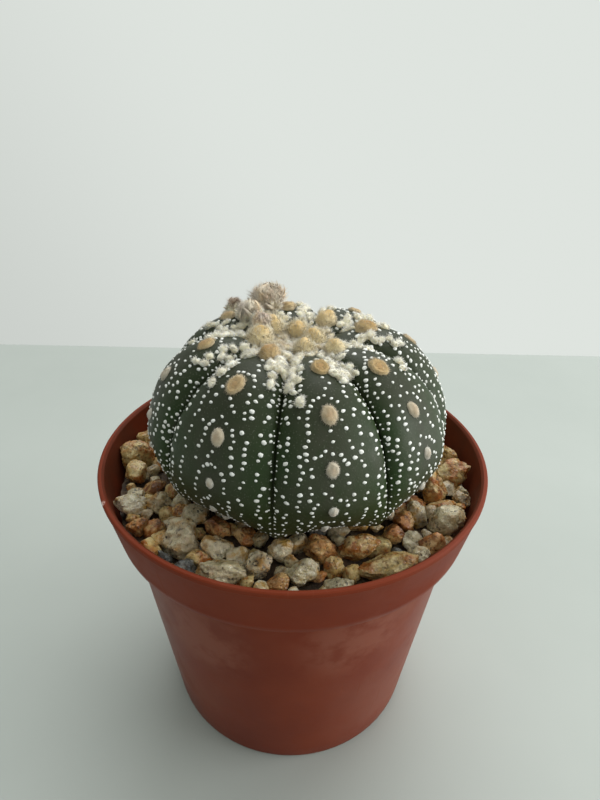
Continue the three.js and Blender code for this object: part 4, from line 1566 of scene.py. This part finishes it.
# %% Stone materials
def stone_material(name, crystals, stain, stain_from, pale, dark, specks, gloss):
    """crystals: colours of the cells, stain: rust, pale: clean patches, dark: specks and painted shade in
    hollows.
    """
    material, tree, shader = new_material(name)
    places, tone = own_places(tree), carried(tree, "tone")
    shift = times(tree, tone, 3.0)
    wobble = node(tree, "TexNoise", {"Vector": places, "Scale": 900.0, "Detail": 2.0}).outputs["Color"]
    bent = node(tree, "Mix", {0: 0.0012, 4: places, 5: wobble}, data_type="VECTOR").outputs[1]
    cells = node(tree, "TexVoronoi", {"Vector": bent, "Scale": 1300.0}).outputs
    cell_value = node(tree, "SeparateColor", {"Color": cells["Color"]}).outputs[0]
    stops = [(i / (len(crystals) - 1), colour) for i, colour in enumerate(crystals)]
    body = blend(tree, 0.52, ramp(tree, cell_value, stops), ramp(tree, tone, stops))
    body = blend(tree, mottle(tree, 230, stain_from - 0.01, stain_from + 0.13, shift), body, stain)
    body = blend(tree, times(tree, mottle(tree, 420, 0.48, 0.61, shift), 0.75), body, pale)
    crumbs = node(tree, "TexVoronoi", {"Vector": bent, "Scale": 2600.0}).outputs["Color"]
    crumb_value = node(tree, "SeparateColor", {"Color": crumbs}).outputs[1]
    speckled = remap(tree, crumb_value, 0.80, 0.92)
    speckled = times(tree, times(tree, speckled, mottle(tree, 190, 0.38, 0.56, shift)), specks)
    body = blend(tree, speckled, body, dark)
    # Painted shade: hollows, where the surface curves inwards, are darkened.
    hollow_shade = remap(tree, node(tree, "NewGeometry").outputs["Pointiness"], 0.42, 0.50, 0.9, 0.0)
    finish(tree, shader, {
        "Base Color": blend(tree, hollow_shade, body, dark),
        "Roughness": remap(tree, cell_value, 0.0, 1.0, gloss - 0.12, gloss + 0.2),
        "Specular IOR Level": 0.6,
        "Subsurface Weight": 0.25, "Subsurface Radius": (1.0, 0.75, 0.45), "Subsurface Scale": 0.001,
    })
    height = arithmetic(tree, "MULTIPLY_ADD", cells["Distance"], 0.5, grain(tree, 3500, 900))
    bump(tree, shader, height, 0.00028, 0.9)
    return material


finishes = {
    "ochre": stone_material(
        "ochre_granite",
        [(0.42, 0.18, 0.035), (0.60, 0.36, 0.11), (0.68, 0.50, 0.21), (0.50, 0.37, 0.15), (0.30, 0.21, 0.08)],
        (0.36, 0.12, 0.022), 0.47, (0.74, 0.60, 0.30), (0.07, 0.04, 0.02), 0.7, 0.34),
    "granite": stone_material(
        "speckled_granite",
        [(0.24, 0.19, 0.10), (0.50, 0.41, 0.23), (0.62, 0.52, 0.36), (0.40, 0.35, 0.21), (0.56, 0.43, 0.32)],
        (0.44, 0.24, 0.07), 0.49, (0.70, 0.62, 0.42), (0.04, 0.035, 0.03), 0.9, 0.36),
    "quartz": stone_material(
        "pale_quartz",
        [(0.46, 0.39, 0.23), (0.62, 0.54, 0.33), (0.52, 0.44, 0.35), (0.68, 0.60, 0.42)],
        (0.52, 0.31, 0.09), 0.50, (0.74, 0.68, 0.50), (0.14, 0.10, 0.06), 0.5, 0.24),
    "rust": stone_material(
        "rust_granite",
        [(0.34, 0.10, 0.024), (0.54, 0.21, 0.055), (0.60, 0.31, 0.11), (0.42, 0.16, 0.04)],
        (0.19, 0.07, 0.022), 0.48, (0.66, 0.44, 0.19), (0.05, 0.025, 0.012), 0.7, 0.36),
    "slate": stone_material(
        "dark_slate",
        [(0.06, 0.068, 0.07), (0.12, 0.12, 0.11), (0.045, 0.05, 0.055), (0.16, 0.16, 0.14)],
        (0.15, 0.11, 0.07), 0.56, (0.22, 0.21, 0.18), (0.02, 0.02, 0.02), 0.5, 0.36),
}
for kind, piece in stones.items():
    dress(finishes[kind], piece)
# Painted shade: the bed takes near-black stone colours.
bed_shade_material = stone_material(
    "grit_bed_painted_shade", [(0.05, 0.032, 0.02), (0.08, 0.05, 0.03), (0.12, 0.08, 0.045), (0.03, 0.02, 0.015)],
    (0.12, 0.07, 0.04), 0.5, (0.16, 0.11, 0.06), (0.03, 0.02, 0.02), 0.5, 0.7)
dress(bed_shade_material, bed)

# %% [markdown]
# ## Potting mix
#
# The mix is peat with crumbs of bark and pumice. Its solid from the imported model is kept, since
# only slivers of it show at the drain holes, and it takes a crumbly material.

# %% Crumbly mix
mix_material, tree, shader = new_material("crumbly_mix")
crumb = node(tree, "TexVoronoi", {"Vector": own_places(tree), "Scale": 700.0}).outputs
crumb_value = node(tree, "SeparateColor", {"Color": crumb["Color"]}).outputs[0]
peat = ramp(tree, crumb_value, [(0.0, (0.030, 0.018, 0.012)), (0.6, (0.060, 0.036, 0.022)),
                                (0.92, (0.12, 0.075, 0.045)), (1.0, (0.45, 0.42, 0.38))])
damp = patched(tree, peat, (0.025, 0.016, 0.011), 150, 0.35, 0.65)
finish(tree, shader, {"Base Color": damp, "Roughness": 0.95, "Specular IOR Level": 0.15})
bump(tree, shader, arithmetic(tree, "ADD", crumb["Distance"], grain(tree, 3000, 600)), 0.0006, 0.9)
mix = bpy.data.objects["potting_mix"]
for slot in mix.material_slots:
    slot.material = mix_material
print("potting mix:", len(mix.material_slots), "slot")
